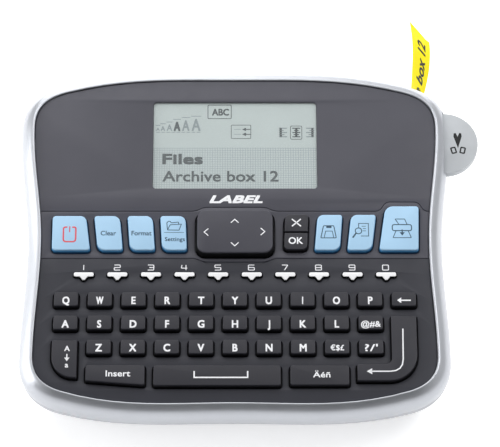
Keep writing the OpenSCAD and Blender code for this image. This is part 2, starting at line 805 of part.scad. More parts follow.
// Route of the tape's middle line outside the case: x, y, z, lean of the tape in degrees
tape_route = [
    [15, feed_y, tape_z, 0], [40, feed_y, tape_z, 0], [58.2, feed_y, tape_z, 0],
    [62.1, feed_y + 1.1, tape_z, 0], [65.2, feed_y + 4.1, tape_z, 0], [66.3, feed_y + 8, tape_z, 0],
    [66.32, 30, tape_z, 0], [66.32, 49, tape_z, 0], [66.8, 53, tape_z, 0], [68, 58, tape_z, 0],
    [70.2, 67, tape_z, 0], [71.5, 72, tape_z, 1], [73.6, 79, 17.7, 9], [75.5, 87, 19.4, 21],
    [77, 95, 21.4, 31], [78.1, 103.5, 23, 38], [78.5, 112, 23.6, 42], [78.3, 119.5, 23, 44]
];
function route_dir(i) =
    let (
        a = tape_route[max(0, i - 1)],
        b = tape_route[min(len(tape_route) - 1, i + 1)],
        d = [b[0] - a[0], b[1] - a[1], b[2] - a[2]]
    )
    d / norm(d);
function tape_ring(i) =
    let (
        p = [tape_route[i][0], tape_route[i][1], tape_route[i][2]],
        d = route_dir(i),
        lean = tape_route[i][3],
        side = cross(d, [0, 0, 1]) / norm(cross(d, [0, 0, 1])),
        up = cross(side, d),
        w = up * cos(lean) - side * sin(lean),
        f = side * cos(lean) + up * sin(lean),
        slant = i == len(tape_route) - 1 ? 2.6 : 0
    )
    [
        p - w * tape_w / 2 - f * tape_t / 2 - d * slant,
        p - w * tape_w / 2 + f * tape_t / 2 - d * slant,
        p + w * tape_w / 2 + f * tape_t / 2 + d * slant,
        p + w * tape_w / 2 - f * tape_t / 2 + d * slant
    ];
module label_tape() {
    color([1, 0.93, 0.05]) loft([for (i = [len(tape_route) - 1:-1:0]) tape_ring(i)]);
}

// ---- print head ---------------------------------------------------------------------
// The arm is a bent plate: a face that carries the head, and a web to its bush
arm_x = 61.2;
arm_y = 14.6;
arm_z = 8;
arm_t = 2;
arm_h = 17.5;
arm_len = 22;
arm_bush_r = 2.8;
web_t = 2.4;
module print_head() {
    head = [2.7, 13.2, 15.5];
    color([0.85, 0.85, 0.82]) translate([arm_x + arm_t + 0.2, arm_y + 1.8, arm_z + 1]) cube(head);
}
module print_head_arm() {
    color(steel) difference() {
        union() {
            translate([arm_x, arm_y, arm_z]) cube([arm_t, arm_len, arm_h]);
            translate([head_pivot[0], head_pivot[1] - web_t, arm_z])
                cube([arm_x + arm_t - head_pivot[0], web_t, arm_h]);
            translate([head_pivot[0], head_pivot[1], arm_z]) cylinder(r = arm_bush_r, h = arm_h);
        }
        translate([head_pivot[0], head_pivot[1], arm_z - 1])
            cylinder(r = axle_r + running, h = arm_h + 2);
    }
}
module spring(radius, wire, turns, height) {
    sides = 5;
    steps = turns * 10;
    loft([
        for (i = [0:steps])
            let (a = i * 36, c = [radius * cos(a), radius * sin(a), wire + (height - 2 * wire) * i / steps])
            [
                for (k = [0:sides - 1])
                    let (b = -k * 360 / sides)
                    c + wire * [cos(a) * cos(b), sin(a) * cos(b), sin(b)]
            ]
    ]);
}
module head_spring() {
    color(steel) translate([head_pivot[0], head_pivot[1], 25.8]) spring(2.3, 0.3, 5, 4.4);
}

// ---- cutter -----------------------------------------------------------------------
module about_cutter_axis(a) {
    translate([cutter_axis[0], 0, cutter_axis[1]]) rotate([0, a, 0])
        translate([-cutter_axis[0], 0, -cutter_axis[1]]) children();
}
module tab_plan() {
    translate([tab_u, tab_v]) circle(r = tab_r, $fn = 64);
}
module cutter_lever() {
    color([0.8, 0.81, 0.82]) difference() {
        union() {
            on_face(tab_n[0]) linear_extrude(tab_n[1] - tab_n[0]) {
                intersection() {
                    tab_plan();
                    translate([tab_u - 4, 0]) square([40, 90]);
                }
                translate([63, tab_v - 8]) square([tab_u - 60, 20]);
            }
            // Barrel on the pivot pin, and the web that joins it to the tab's plate
            translate([cutter_axis[0], cutter_y[0] + 0.2, cutter_axis[1]]) rotate([-90, 0, 0])
                cylinder(r = bush_r, h = cutter_y[1] - cutter_y[0] - 3);
            translate([cutter_axis[0] - 2, cutter_y[0] + 2, cutter_axis[1]]) cube([5, 18, 4.6]);
            // Arm that reaches down to the blade, drawn as it stands when pressed
            about_cutter_axis(-cutter_swing) {
                translate([cutter_axis[0] + 1, blade_y - 4, cutter_axis[1] - 3])
                    cube([blade_arm_x + blade_arm[0] - cutter_axis[0] - 1, 3.4, 4]);
                translate([blade_arm_x, blade_y - 2, blade_z]) cube(blade_arm);
            }
        }
        translate([cutter_axis[0], cutter_y[0] - 1, cutter_axis[1]]) rotate([-90, 0, 0])
            cylinder(r = pin_r + running, h = 30);
    }
}
module cutter_blade() {
    color(steel) about_cutter_axis(-cutter_swing)
        translate([blade_edge_x, blade_y, blade_z]) rotate([90, 0, 0]) linear_extrude(blade_t)
            polygon([[0.2, 0], [blade_w, 0], [blade_w, blade_h], [0, blade_h]]);
}
module cutter_spring() {
    color(steel) translate([72, 46, plate_z[1] + 0.1]) spring(2.4, 0.3, 5, 7.1);
}
module cutter_pivot_pin() {
    color(steel) translate([cutter_axis[0], cutter_y[0] - 2.6, cutter_axis[1]]) rotate([-90, 0, 0])
        cylinder(r = pin_r, h = cutter_y[1] - cutter_y[0] + 3);
}

// ---- keys -------------------------------------------------------------------------
nav_h = 3.5;
nav_pivot_n = -3.4;
module nav_pad_post() {
    color(key_grey) on_face(nav_pivot_n - 0.5) translate([0, nav_v]) cylinder(r = 2, h = 0.95);
}
module nav_pad() {
    color([0.32, 0.32, 0.35]) on_face(-2.8) linear_extrude(nav_h + 2.8) nav_plan();
}
module power_key() { blue_key() power_plan(); }
module clear_key() { blue_key() clear_plan(); }
module format_key() { blue_key() format_plan(); }
module settings_key() { blue_key() settings_plan(); }
module save_key() { blue_key() save_plan(); }
module preview_key() { blue_key() preview_plan(); }
module print_key() { blue_key() print_plan(); }
// The cancel and OK keys meet, so neither flange reaches past the line between them
module half_flange_key(v_from) {
    color(key_grey) {
        on_face(flange_n) linear_extrude(key_h - flange_n) children();
        on_face(flange_n - flange_t) linear_extrude(flange_t) intersection() {
            offset(delta = flange) children();
            translate([0, v_from]) square([60, 20]);
        }
    }
}
module cancel_key() { half_flange_key(1.3) cancel_plan(); }
module ok_key() { half_flange_key(-19) ok_plan(); }
module number_keys() {
    color("white") on_face(flange_n) linear_extrude(1.2 - flange_n) numbers() number_plan();
    color("white") on_face(flange_n - flange_t) linear_extrude(flange_t)
        numbers() translate([0, -0.4]) square([9.2, 5.2], center = true);
}
module letter_keys_top_row() { dark_key() letters(0, 0, 9) letter_plan(); }
module letter_keys_middle_row() { dark_key() letters(1, 0, 8) letter_plan(); }
module letter_keys_bottom_row() { dark_key() letters(2, 1, 7) letter_plan(); }
module backspace_key() { dark_key() backspace_plan(); }
module symbol_key() { dark_key() symbol_plan(); }
module currency_key() { dark_key() currency_plan(); }
module punctuation_key() { dark_key() punctuation_plan(); }
module shift_key() { dark_key() shift_plan(); }
module insert_key() { dark_key() insert_plan(); }
module space_key() { dark_key() space_plan(); }
module accent_key() { dark_key() accent_plan(); }
module enter_key() { dark_key() enter_plan(); }

upper_frame();
lower_case();
display_panel();
function_panel();
keyboard_panel();
lcd_window();
lcd_glass();
lcd_holder();
foot_ring();
case_screws();
cassette_door();
cassette_door_pin();
battery_door();
battery_pack();
battery_contacts();
dc_jack();
main_board();
keypad_mat();
chassis();
motor();
motor_pinion();
idler_gear();
platen_gear();
platen_roller();
takeup_gear();
takeup_spool();
tape_spool();
cassette_shell();
label_tape();
print_head();
print_head_arm();
head_spring();
cutter_lever();
cutter_blade();
cutter_spring();
cutter_pivot_pin();
nav_pad_post();
nav_pad();
power_key();
clear_key();
format_key();
settings_key();
save_key();
preview_key();
print_key();
cancel_key();
ok_key();
number_keys();
letter_keys_top_row();
letter_keys_middle_row();
letter_keys_bottom_row();
backspace_key();
symbol_key();
currency_key();
punctuation_key();
shift_key();
insert_key();
space_key();
accent_key();
enter_key();
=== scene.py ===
import json
import math

import bmesh
import bpy
from mathutils import Matrix, Vector, geometry


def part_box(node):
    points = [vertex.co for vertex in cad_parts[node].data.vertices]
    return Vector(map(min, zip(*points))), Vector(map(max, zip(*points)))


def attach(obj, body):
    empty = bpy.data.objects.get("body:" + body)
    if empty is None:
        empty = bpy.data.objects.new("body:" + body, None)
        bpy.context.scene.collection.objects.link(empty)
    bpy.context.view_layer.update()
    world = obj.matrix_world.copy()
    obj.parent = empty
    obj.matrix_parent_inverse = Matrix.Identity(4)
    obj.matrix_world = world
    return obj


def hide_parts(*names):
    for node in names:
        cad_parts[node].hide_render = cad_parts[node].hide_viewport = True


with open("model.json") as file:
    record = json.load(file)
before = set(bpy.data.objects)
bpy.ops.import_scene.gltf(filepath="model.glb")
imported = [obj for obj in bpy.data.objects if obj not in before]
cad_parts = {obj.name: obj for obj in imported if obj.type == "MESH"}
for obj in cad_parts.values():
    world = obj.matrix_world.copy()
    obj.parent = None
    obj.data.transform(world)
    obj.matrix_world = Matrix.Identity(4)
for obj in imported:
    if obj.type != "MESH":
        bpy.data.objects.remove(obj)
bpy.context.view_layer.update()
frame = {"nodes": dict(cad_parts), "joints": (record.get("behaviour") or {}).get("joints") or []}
nodes = frame["nodes"]
MM = 0.001
SAME_POINT = 0.000002
INK_THICK = 0.06

# ---- the face plane, taken from the keys' own press direction --------------------------
press = next(j for j in frame["joints"] if j["name"] == "power_press")
OUT = -Vector(press["axis"]).normalized()
RIGHT = Vector((1, 0, 0))
UP = OUT.cross(RIGHT)
FACE_LEVEL = max(OUT.dot(v.co) for v in nodes["function_panel"].data.vertices)
CENTRE = Vector((0, 0, FACE_LEVEL / OUT.z))


def on_face(u, v, n=0.0):
    """A point given in millimetres right, up the slope and out of the face."""
    return CENTRE + (u * RIGHT + v * UP + n * OUT) * MM


def to_face(p):
    d = (p - CENTRE) / MM
    return Vector((d.dot(RIGHT), d.dot(UP), d.dot(OUT)))


def in_row(x, y, z):
    return Vector((x, y, z)) * MM


# ---- materials ------------------------------------------------------------------------
def linear(r, g, b):
    """The scene colour of an sRGB one given as three numbers up to 255."""
    parts = [c / 255 for c in (r, g, b)]
    return [c / 12.92 if c < 0.04 else ((c + 0.055) / 1.055) ** 2.4 for c in parts] + [1.0]


def new_material(name):
    material = bpy.data.materials.new(name)
    material.use_nodes = True
    tree = material.node_tree
    return material, tree, tree.nodes["Principled BSDF"]


def noise(tree, scale, detail=2.0, rough=0.5):
    where = tree.nodes.new("ShaderNodeTexCoord")
    node = tree.nodes.new("ShaderNodeTexNoise")
    node.inputs["Scale"].default_value = scale
    node.inputs["Detail"].default_value = detail
    node.inputs["Roughness"].default_value = rough
    tree.links.new(where.outputs["Object"], node.inputs["Vector"])
    return node.outputs["Fac"]


def ramp(tree, fac, low, high, start=0.3, end=0.7):
    node = tree.nodes.new("ShaderNodeValToRGB")
    node.color_ramp.elements[0].position = start
    node.color_ramp.elements[1].position = end
    node.color_ramp.elements[0].color = low
    node.color_ramp.elements[1].color = high
    tree.links.new(fac, node.inputs["Fac"])
    return node.outputs["Color"]


def spread(tree, fac, low, high):
    node = tree.nodes.new("ShaderNodeMapRange")
    node.inputs["From Min"].default_value = 0.3
    node.inputs["From Max"].default_value = 0.7
    node.inputs["To Min"].default_value = low
    node.inputs["To Max"].default_value = high
    tree.links.new(fac, node.inputs["Value"])
    return node.outputs["Result"]


def bump(tree, shader, height, strength, depth):
    node = tree.nodes.new("ShaderNodeBump")
    node.inputs["Strength"].default_value = strength
    node.inputs["Distance"].default_value = depth
    tree.links.new(height, node.inputs["Height"])
    tree.links.new(node.outputs["Normal"], shader.inputs["Normal"])


def scaled(colour, by):
    return [min(1.0, c * by) for c in colour[:3]] + [1.0]


def height_share(tree, low, high):
    """0 up to one height over the face, in millimetres, and 1 from another."""
    where = tree.nodes.new("ShaderNodeTexCoord")
    along = tree.nodes.new("ShaderNodeVectorMath")
    along.operation = "DOT_PRODUCT"
    along.inputs[1].default_value = OUT / MM
    tree.links.new(where.outputs["Object"], along.inputs[0])
    share = tree.nodes.new("ShaderNodeMapRange")
    share.inputs["From Min"].default_value = FACE_LEVEL / MM + low
    share.inputs["From Max"].default_value = FACE_LEVEL / MM + high
    tree.links.new(along.outputs["Value"], share.inputs["Value"])
    return share.outputs["Result"]


def blended(tree, fac, low, high):
    """A mix of two colours, each a socket or a value."""
    mix = tree.nodes.new("ShaderNodeMix")
    mix.data_type = "RGBA"
    tree.links.new(fac, mix.inputs["Factor"])
    for socket, colour in ((mix.inputs[6], low), (mix.inputs[7], high)):
        if isinstance(colour, bpy.types.NodeSocket):
            tree.links.new(colour, socket)
        else:
            socket.default_value = colour
    return mix.outputs[2]


def moulded(name, colour, roughness, grain=5600, strength=0.25, mottle=0.06, shade_foot=(), **sockets):
    """Moulded plastic: a spark-eroded grain, faint mottling and uneven gloss.

    The (colour, from height, to height) list that follows mottle is painted shade: it tints the
    piece's lower part with the colour, fully below the first height over the face and fading out by
    the second."""
    material, tree, shader = new_material(name)
    base = linear(*colour)
    tint = ramp(tree, noise(tree, 90, 4), scaled(base, 1 - mottle), scaled(base, 1 + mottle))
    # Painted shade: each entry darkens the part below its heights over the face.
    for shade_colour, start, end in shade_foot:
        tint = blended(tree, height_share(tree, start, end), linear(*shade_colour), tint)
    tree.links.new(tint, shader.inputs["Base Color"])
    gloss = spread(tree, noise(tree, 260, 3), roughness - 0.05, roughness + 0.05)
    tree.links.new(gloss, shader.inputs["Roughness"])
    shader.inputs["Specular IOR Level"].default_value = 0.35
    bump(tree, shader, noise(tree, grain, 2, 0.5), strength, 0.00001)
    for socket, value in sockets.items():
        shader.inputs[socket.replace("_", " ")].default_value = value
    return material


def painted(name, colour, metal, roughness):
    """Silver paint with fine metal flake."""
    material, tree, shader = new_material(name)
    base = linear(*colour)
    flake = ramp(tree, noise(tree, 6000, 1), scaled(base, 0.97), scaled(base, 1.02), 0.42, 0.58)
    tree.links.new(flake, shader.inputs["Base Color"])
    gloss = spread(tree, noise(tree, 180, 3), roughness - 0.03, roughness + 0.03)
    tree.links.new(gloss, shader.inputs["Roughness"])
    shader.inputs["Metallic"].default_value = metal
    shader.inputs["Coat Weight"].default_value = 0.2
    shader.inputs["Coat Roughness"].default_value = 0.15
    bump(tree, shader, noise(tree, 6000, 2), 0.08, 0.00001)
    return material


def brushed(name, colour, roughness):
    """Drawn or turned metal with fine streaks."""
    material, tree, shader = new_material(name)
    where = tree.nodes.new("ShaderNodeTexCoord")
    stretch = tree.nodes.new("ShaderNodeMapping")
    stretch.inputs["Scale"].default_value = (60, 900, 900)
    streaks = tree.nodes.new("ShaderNodeTexNoise")
    streaks.inputs["Scale"].default_value = 4.0
    tree.links.new(where.outputs["Object"], stretch.inputs["Vector"])
    tree.links.new(stretch.outputs["Vector"], streaks.inputs["Vector"])
    base = linear(*colour)
    tint = ramp(tree, streaks.outputs["Fac"], scaled(base, 0.82), scaled(base, 1.08))
    tree.links.new(tint, shader.inputs["Base Color"])
    gloss = spread(tree, streaks.outputs["Fac"], roughness - 0.08, roughness + 0.1)
    tree.links.new(gloss, shader.inputs["Roughness"])
    shader.inputs["Metallic"].default_value = 1.0
    bump(tree, shader, streaks.outputs["Fac"], 0.15, 0.00002)
    return material


def lcd_glass():
    """Grey-green display glass. Its lower part shows the mesh of unlit dots."""
    material, tree, shader = new_material("lcd")
    where = tree.nodes.new("ShaderNodeTexCoord")
    mesh = None
    for axis, pitch in ((RIGHT, DOT_PITCH), (UP, DOT_PITCH)):
        along = tree.nodes.new("ShaderNodeVectorMath")
        along.operation = "DOT_PRODUCT"
        along.inputs[1].default_value = axis / (pitch * MM)
        tree.links.new(where.outputs["Object"], along.inputs[0])
        wrapped = tree.nodes.new("ShaderNodeMath")
        wrapped.operation = "FRACT"
        tree.links.new(along.outputs["Value"], wrapped.inputs[0])
        line = tree.nodes.new("ShaderNodeMath")
        line.operation = "LESS_THAN"
        line.inputs[1].default_value = 0.22
        tree.links.new(wrapped.outputs[0], line.inputs[0])
        if mesh is None:
            mesh = line.outputs[0]
        else:
            both = tree.nodes.new("ShaderNodeMath")
            both.operation = "MAXIMUM"
            tree.links.new(mesh, both.inputs[0])
            tree.links.new(line.outputs[0], both.inputs[1])
            mesh = both.outputs[0]
    below = tree.nodes.new("ShaderNodeMath")
    below.operation = "LESS_THAN"
    rise = tree.nodes.new("ShaderNodeVectorMath")
    rise.operation = "DOT_PRODUCT"
    rise.inputs[1].default_value = UP
    tree.links.new(where.outputs["Object"], rise.inputs[0])
    tree.links.new(rise.outputs["Value"], below.inputs[0])
    below.inputs[1].default_value = UP.dot(on_face(0, MESH_TOP))
    shown = tree.nodes.new("ShaderNodeMath")
    shown.operation = "MULTIPLY"
    tree.links.new(mesh, shown.inputs[0])
    tree.links.new(below.outputs[0], shown.inputs[1])
    glass = linear(189, 200, 199)
    cloudy = ramp(tree, noise(tree, 40, 3), scaled(glass, 0.96), scaled(glass, 1.03))
    tint = blended(tree, shown.outputs[0], cloudy, linear(153, 165, 169))
    tree.links.new(tint, shader.inputs["Base Color"])
    shader.inputs["Roughness"].default_value = 0.45
    return material


def window_sheet():
    """Clear acrylic over the display, with the faintest haze."""
    material, tree, shader = new_material("clear_window")
    haze = spread(tree, noise(tree, 300, 2), 0.05, 0.11)
    tree.links.new(haze, shader.inputs["Roughness"])
    shader.inputs["Base Color"].default_value = linear(225, 232, 232)
    shader.inputs["Alpha"].default_value = 0.08
    return material


def circuit_board():
    """Green solder mask over a woven glass board."""
    material, tree, shader = new_material("board")
    weave = tree.nodes.new("ShaderNodeTexWave")
    weave.inputs["Scale"].default_value = 500
    where = tree.nodes.new("ShaderNodeTexCoord")
    tree.links.new(where.outputs["Object"], weave.inputs["Vector"])
    tint = ramp(tree, weave.outputs["Fac"], linear(22, 84, 52), linear(34, 106, 66))
    tree.links.new(tint, shader.inputs["Base Color"])
    shader.inputs["Roughness"].default_value = 0.3
    bump(tree, shader, weave.outputs["Fac"], 0.1, 0.00002)
    return material


def tape_film():
    """Glossy yellow label tape with a little uneven tension in it."""
    material, tree, shader = new_material("yellow_tape")
    base = linear(255, 238, 0)
    tint = ramp(tree, noise(tree, 70, 2), scaled(base, 0.95), base)
    tree.links.new(tint, shader.inputs["Base Color"])
    gloss = spread(tree, noise(tree, 120, 2), 0.36, 0.48)
    tree.links.new(gloss, shader.inputs["Roughness"])
    shader.inputs["Specular IOR Level"].default_value = 0.1
    bump(tree, shader, noise(tree, 260, 2), 0.12, 0.00004)
    return material


DOT_PITCH = 1.0
MESH_TOP = 39.6
looks = {
    "silver_plastic": painted("silver_plastic", (188, 191, 197), 0.65, 0.32),
    "case_plastic": painted("case_plastic", (176, 178, 184), 0.5, 0.38),
    "panel_plastic": moulded("panel_plastic", (76, 76, 85), 0.42, 6000, 0.3, 0.03),
    "keyboard_plastic": moulded("keyboard_plastic", (50, 51, 59), 0.5, 5200, 0.4, 0.04),
    # Painted shade: the dark keys' sides turn near black below 2 mm over the face, the shade in the
    # gaps round the keys.
    "key_plastic": moulded("key_plastic", (46, 46, 53), 0.45, 6800, 0.3, 0.04,
                           shade_foot=[((10, 10, 12), 0.6, 2.0)]),
    # Painted shade: the nav pad's side walls turn near black below 2.7 mm over the face, the shade
    # under its raised rim.
    "nav_plastic": moulded("nav_plastic", (68, 68, 77), 0.42, 6800, 0.25, 0.04,
                           shade_foot=[((8, 8, 9), 2.7, 3.15)]),
    # Painted shade: the blue keys turn deeper blue on their lower rounded edge and dark blue on their
    # sides, the shade falling off their edges and in the gaps.
    "blue_plastic": moulded("blue_plastic", (173, 211, 240), 0.35, 6000, 0.1, 0.03,
                            shade_foot=[((92, 172, 230), 1.1, 1.9), ((38, 92, 142), 0.2, 1.1)]),
    # Painted shadow: the number keys' sides turn near black below 1 mm over the face, the shadow
    # under each key.
    "white_plastic": moulded("white_plastic", (250, 250, 252), 0.4, 6000, 0.15, 0.02,
                             shade_foot=[((20, 20, 22), 0.75, 1.0)]),
    "pale_plastic": moulded("pale_plastic", (234, 233, 224), 0.4, 4800, 0.15),
    "lever_plastic": moulded("lever_plastic", (196, 200, 204), 0.45, 5200, 0.3),
    "black_plastic": moulded("black_plastic", (40, 40, 43), 0.45, 4800, 0.35),
    "rubber": moulded("rubber", (36, 36, 38), 0.75, 3600, 0.5),
    "grey_rubber": moulded("grey_rubber", (150, 153, 157), 0.7, 3600, 0.3),
    "ceramic": moulded("ceramic", (222, 221, 212), 0.25, 2800, 0.05, 0.04),
    "steel": brushed("steel", (196, 199, 204), 0.32),
    "brass": brushed("brass", (214, 180, 100), 0.3),
    "board": circuit_board(),
    "lcd": lcd_glass(),
    "clear_window": window_sheet(),
    "yellow_tape": tape_film(),
}
inks = {
    "white_ink": (moulded("white_ink", (246, 247, 250), 0.5, 10000, 0.1, 0.02), "white_plastic"),
    "slate_ink": (moulded("slate_ink", (58, 84, 104), 0.5, 10000, 0.1, 0.05), "blue_plastic"),
    "red_ink": (moulded("red_ink", (226, 88, 98), 0.5, 10000, 0.1, 0.04), "blue_plastic"),
    "black_ink": (moulded("black_ink", (22, 22, 24), 0.5, 10000, 0.1, 0.05), "lever_plastic"),
    "tape_ink": (moulded("tape_ink", (20, 20, 16), 0.4, 10000, 0.1, 0.05), "yellow_tape"),
    "lcd_ink": (moulded("lcd_ink", (50, 60, 64), 0.5, 10000, 0.05, 0.06), "lcd"),
    "faint_lcd_ink": (moulded("faint_lcd_ink", (132, 144, 147), 0.5, 10000, 0.05, 0.06), "lcd"),
}


def look_of(name):
    return inks[name] if name in inks else (looks[name], name)


# ---- meshes ---------------------------------------------------------------------------
def solid(parts):
    """One list of points and faces from several."""
    points, faces = [], []
    for more_points, more_faces in parts:
        start = len(points)
        points.extend(more_points)
        faces.extend([start + i for i in face] for face in more_faces)
    return points, faces


def build(name, points, faces):
    mesh = bpy.data.meshes.new(name)
    shape = bmesh.new()
    made = [shape.verts.new(p) for p in points]
    for face in faces:
        shape.faces.new([made[i] for i in face])
    bmesh.ops.remove_doubles(shape, verts=shape.verts, dist=SAME_POINT / 2)
    bmesh.ops.recalc_face_normals(shape, faces=shape.faces)
    shape.to_mesh(mesh)
    shape.free()
    made = bpy.data.objects.new(name, mesh)
    bpy.context.scene.collection.objects.link(made)
    return made


def finish(piece, look, body, *replaced, sharp=32):
    """Gives a piece its shading, material and body, and the nodes that it stands for."""
    material, slot = look_of(look)
    piece.data.materials.clear()
    piece.data.materials.append(material)
    for face in piece.data.polygons:
        face.use_smooth = True
    piece.data.set_sharp_from_angle(angle=math.radians(sharp))
    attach(piece, body)
    if replaced:
        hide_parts(*replaced)
    return piece


def make(name, parts, look, body, *replaced, sharp=32):
    return finish(build(name, *solid(parts)), look, body, *replaced, sharp=sharp)


def loft(rings, ends=True, around=False):
    """A skin through rings of the same number of points."""
    count = len(rings[0])
    points = [p for ring in rings for p in ring]
    spans = len(rings) if around else len(rings) - 1
    faces = []
    for r in range(spans):
        below, above = r * count, (r + 1) % len(rings) * count
        for i in range(count):
            j = (i + 1) % count
            faces.append([below + i, below + j, above + j, above + i])
    if ends and not around:
        last = (len(rings) - 1) * count
        faces.append([count - 1 - i for i in range(count)])
        faces.append([last + i for i in range(count)])
    return points, faces


def outward(loop):
    """The outward direction at each point of a loop that runs anticlockwise round its solid."""
    ways = []
    for i, p in enumerate(loop):
        before = (p - loop[i - 1]).normalized()
        after = (loop[(i + 1) % len(loop)] - p).normalized()
        sides = [Vector((d.y, -d.x)) for d in (before, after)]
        middle = (sides[0] + sides[1]).normalized()
        ways.append((middle, 1 / max(0.6, middle.dot(sides[0]))))
    return ways


def plans(name):
    """The outlines of a node's flat top, in face coordinates."""
    shape = bmesh.new()
    shape.from_mesh(nodes[name].data)
    bmesh.ops.remove_doubles(shape, verts=shape.verts, dist=SAME_POINT)
    for v in shape.verts:
        v.co = to_face(v.co)
    level = max(v.co.z for v in shape.verts)
    flat = {f for f in shape.faces if all(abs(v.co.z - level) < 0.01 for v in f.verts)}
    following = {}
    for face in flat:
        for corner in face.loops:
            if sum(f in flat for f in corner.edge.link_faces) == 1:
                following[corner.vert] = corner.link_loop_next.vert
    loops = []
    while following:
        start, step = next(iter(following.items()))
        loop = [start]
        while step is not start:
            loop.append(step)
            step = following.pop(step)
        following.pop(start, None)
        loops.append([Vector((v.co.x, v.co.y)) for v in loop])
    shape.free()
    return loops


def plate(loops, low, high, edge):
    """A flat plate with openings. Its top edges are rounded by edge."""
    steps = [(0.0, low), (0.0, high - edge)]
    for turn in (30, 60, 90):
        a = math.radians(turn)
        steps.append((edge * (1 - math.cos(a)), high - edge + edge * math.sin(a)))
    parts, tops, bottoms = [], [], []
    for loop in loops:
        ways = outward(loop)
        rings = []
        for inset, n in steps:
            flat = [p - way * reach * inset for p, (way, reach) in zip(loop, ways)]
            rings.append([on_face(p.x, p.y, n) for p in flat])
        parts.append(loft(rings, ends=False))
        tops.append(rings[-1])
        bottoms.append(rings[0])
    for level in (tops, bottoms):
        flat = [[to_face(p).to_3d() for p in ring] for ring in level]
        triangles = geometry.tessellate_polygon([[Vector((p.x, p.y, 0)) for p in r] for r in flat])
        parts.append(([p for ring in level for p in ring], [list(t) for t in triangles]))
    return parts


def rounded(u, v, width, depth, radius, steps=6):
    """The outline of a rectangle with round corners."""
    loop = []
    for k, (su, sv) in enumerate(((1, -1), (1, 1), (-1, 1), (-1, -1))):
        cu, cv = u + su * (width / 2 - radius), v + sv * (depth / 2 - radius)
        for i in range(steps + 1):
            a = math.radians(-90 + 90 * k + 90 * i / steps)
            loop.append(Vector((cu + radius * math.cos(a), cv + radius * math.sin(a))))
    return loop


def cap(loop, height, side, back, front, edge, low=-2.15, rim=0.7):
    """A key cap: a flange under the panel, drafted sides and a rounded upper edge."""
    ways = outward(loop)
    u0, u1 = min(p.x for p in loop), max(p.x for p in loop)
    v0, v1 = min(p.y for p in loop), max(p.y for p in loop)

    def ring(share, extra, n):
        made = []
        for p, (way, reach) in zip(loop, ways):
            right, rear = (p.x - u0) / (u1 - u0), (p.y - v0) / (v1 - v0)
            u = p.x + share * side * (1 - 2 * right) - way.x * reach * extra
            v = p.y + share * (front * (1 - rear) - back * rear) - way.y * reach * extra
            made.append(on_face(u, v, n))
        return made

    rings = [ring(0, -rim, low - 0.8), ring(0, -rim, low)] if rim else []
    shoulder = height - edge
    rings += [ring(0, 0, low), ring(0, 0, 0.1), ring(0.5, 0, 0.1 + (shoulder - 0.1) * 0.55)]
    for turn in (0, 22, 45, 68, 90):
        a = math.radians(turn)
        rings.append(ring(1, edge * (1 - math.cos(a)), shoulder + edge * math.sin(a)))
    return loft(rings)


def ribbon(path, width, low, high, closed=False, place=on_face):
    """A flat line of even width along a path, as thin as its ink."""
    count = len(path)
    rings = []
    for i, p in enumerate(path):
        before = path[i - 1] if i or closed else None
        after = path[(i + 1) % count] if i < count - 1 or closed else None
        ways = []
        if before is not None:
            ways.append((p - before).normalized())
        if after is not None:
            ways.append((after - p).normalized())
        sides = [Vector((-d.y, d.x)) for d in ways]
        middle = sum(sides, Vector((0, 0))).normalized()
        reach = width / 2 / max(0.5, middle.dot(sides[0]))
        left, right = p + middle * reach, p - middle * reach
        corners = ((left, low), (right, low), (right, high), (left, high))
        rings.append([place(q.x, q.y, n) for q, n in corners])
    return loft(rings, around=closed)


def line(points, width, n, round_by=0.0, closed=False, thick=INK_THICK, place=on_face):
    """A printed line through a few points, its corners rounded."""
    path = []
    spots = [Vector(p) for p in points]
    for i, p in enumerate(spots):
        inner = closed or 0 < i < len(spots) - 1
        if not inner or round_by <= 0:
            path.append(p)
            continue
        a, b = spots[i - 1], spots[(i + 1) % len(spots)]
        reach = min(round_by, (a - p).length / 2.01, (b - p).length / 2.01)
        start, end = p + (a - p).normalized() * reach, p + (b - p).normalized() * reach
        for k in range(5):
            t = k / 4
            path.append((1 - t) ** 2 * start + 2 * t * (1 - t) * p + t * t * end)
    return ribbon(path, width, n - thick, n, closed, place)


def patch(points, n, thick=INK_THICK):
    """A flat printed shape with straight edges."""
    return loft([[on_face(*p, n - thick) for p in points], [on_face(*p, n) for p in points]])


def block(u, v, width, depth, n, thick=INK_THICK):
    w, d = width / 2, depth / 2
    return patch([(u - w, v - d), (u + w, v - d), (u + w, v + d), (u - w, v + d)], n, thick)


def glyphs(text, shear):
    """A word as points and faces, one unit being the height of a capital."""
    curve = bpy.data.curves.new("word", "FONT")
    curve.body = text
    curve.size = 1.0
    curve.extrude = 0.5
    curve.shear = shear
    curve.resolution_u = 3
    holder = bpy.data.objects.new("word", curve)
    bpy.context.scene.collection.objects.link(holder)
    bpy.context.view_layer.update()
    evaluated = holder.evaluated_get(bpy.context.evaluated_depsgraph_get())
    mesh = bpy.data.meshes.new_from_object(evaluated)
    points = [v.co / CAPITAL for v in mesh.vertices]
    faces = [list(p.vertices) for p in mesh.polygons]
    bpy.data.objects.remove(holder)
    bpy.data.meshes.remove(mesh)
    return points, faces


CAPITAL = 0.729
COPY_STEP = 0.006


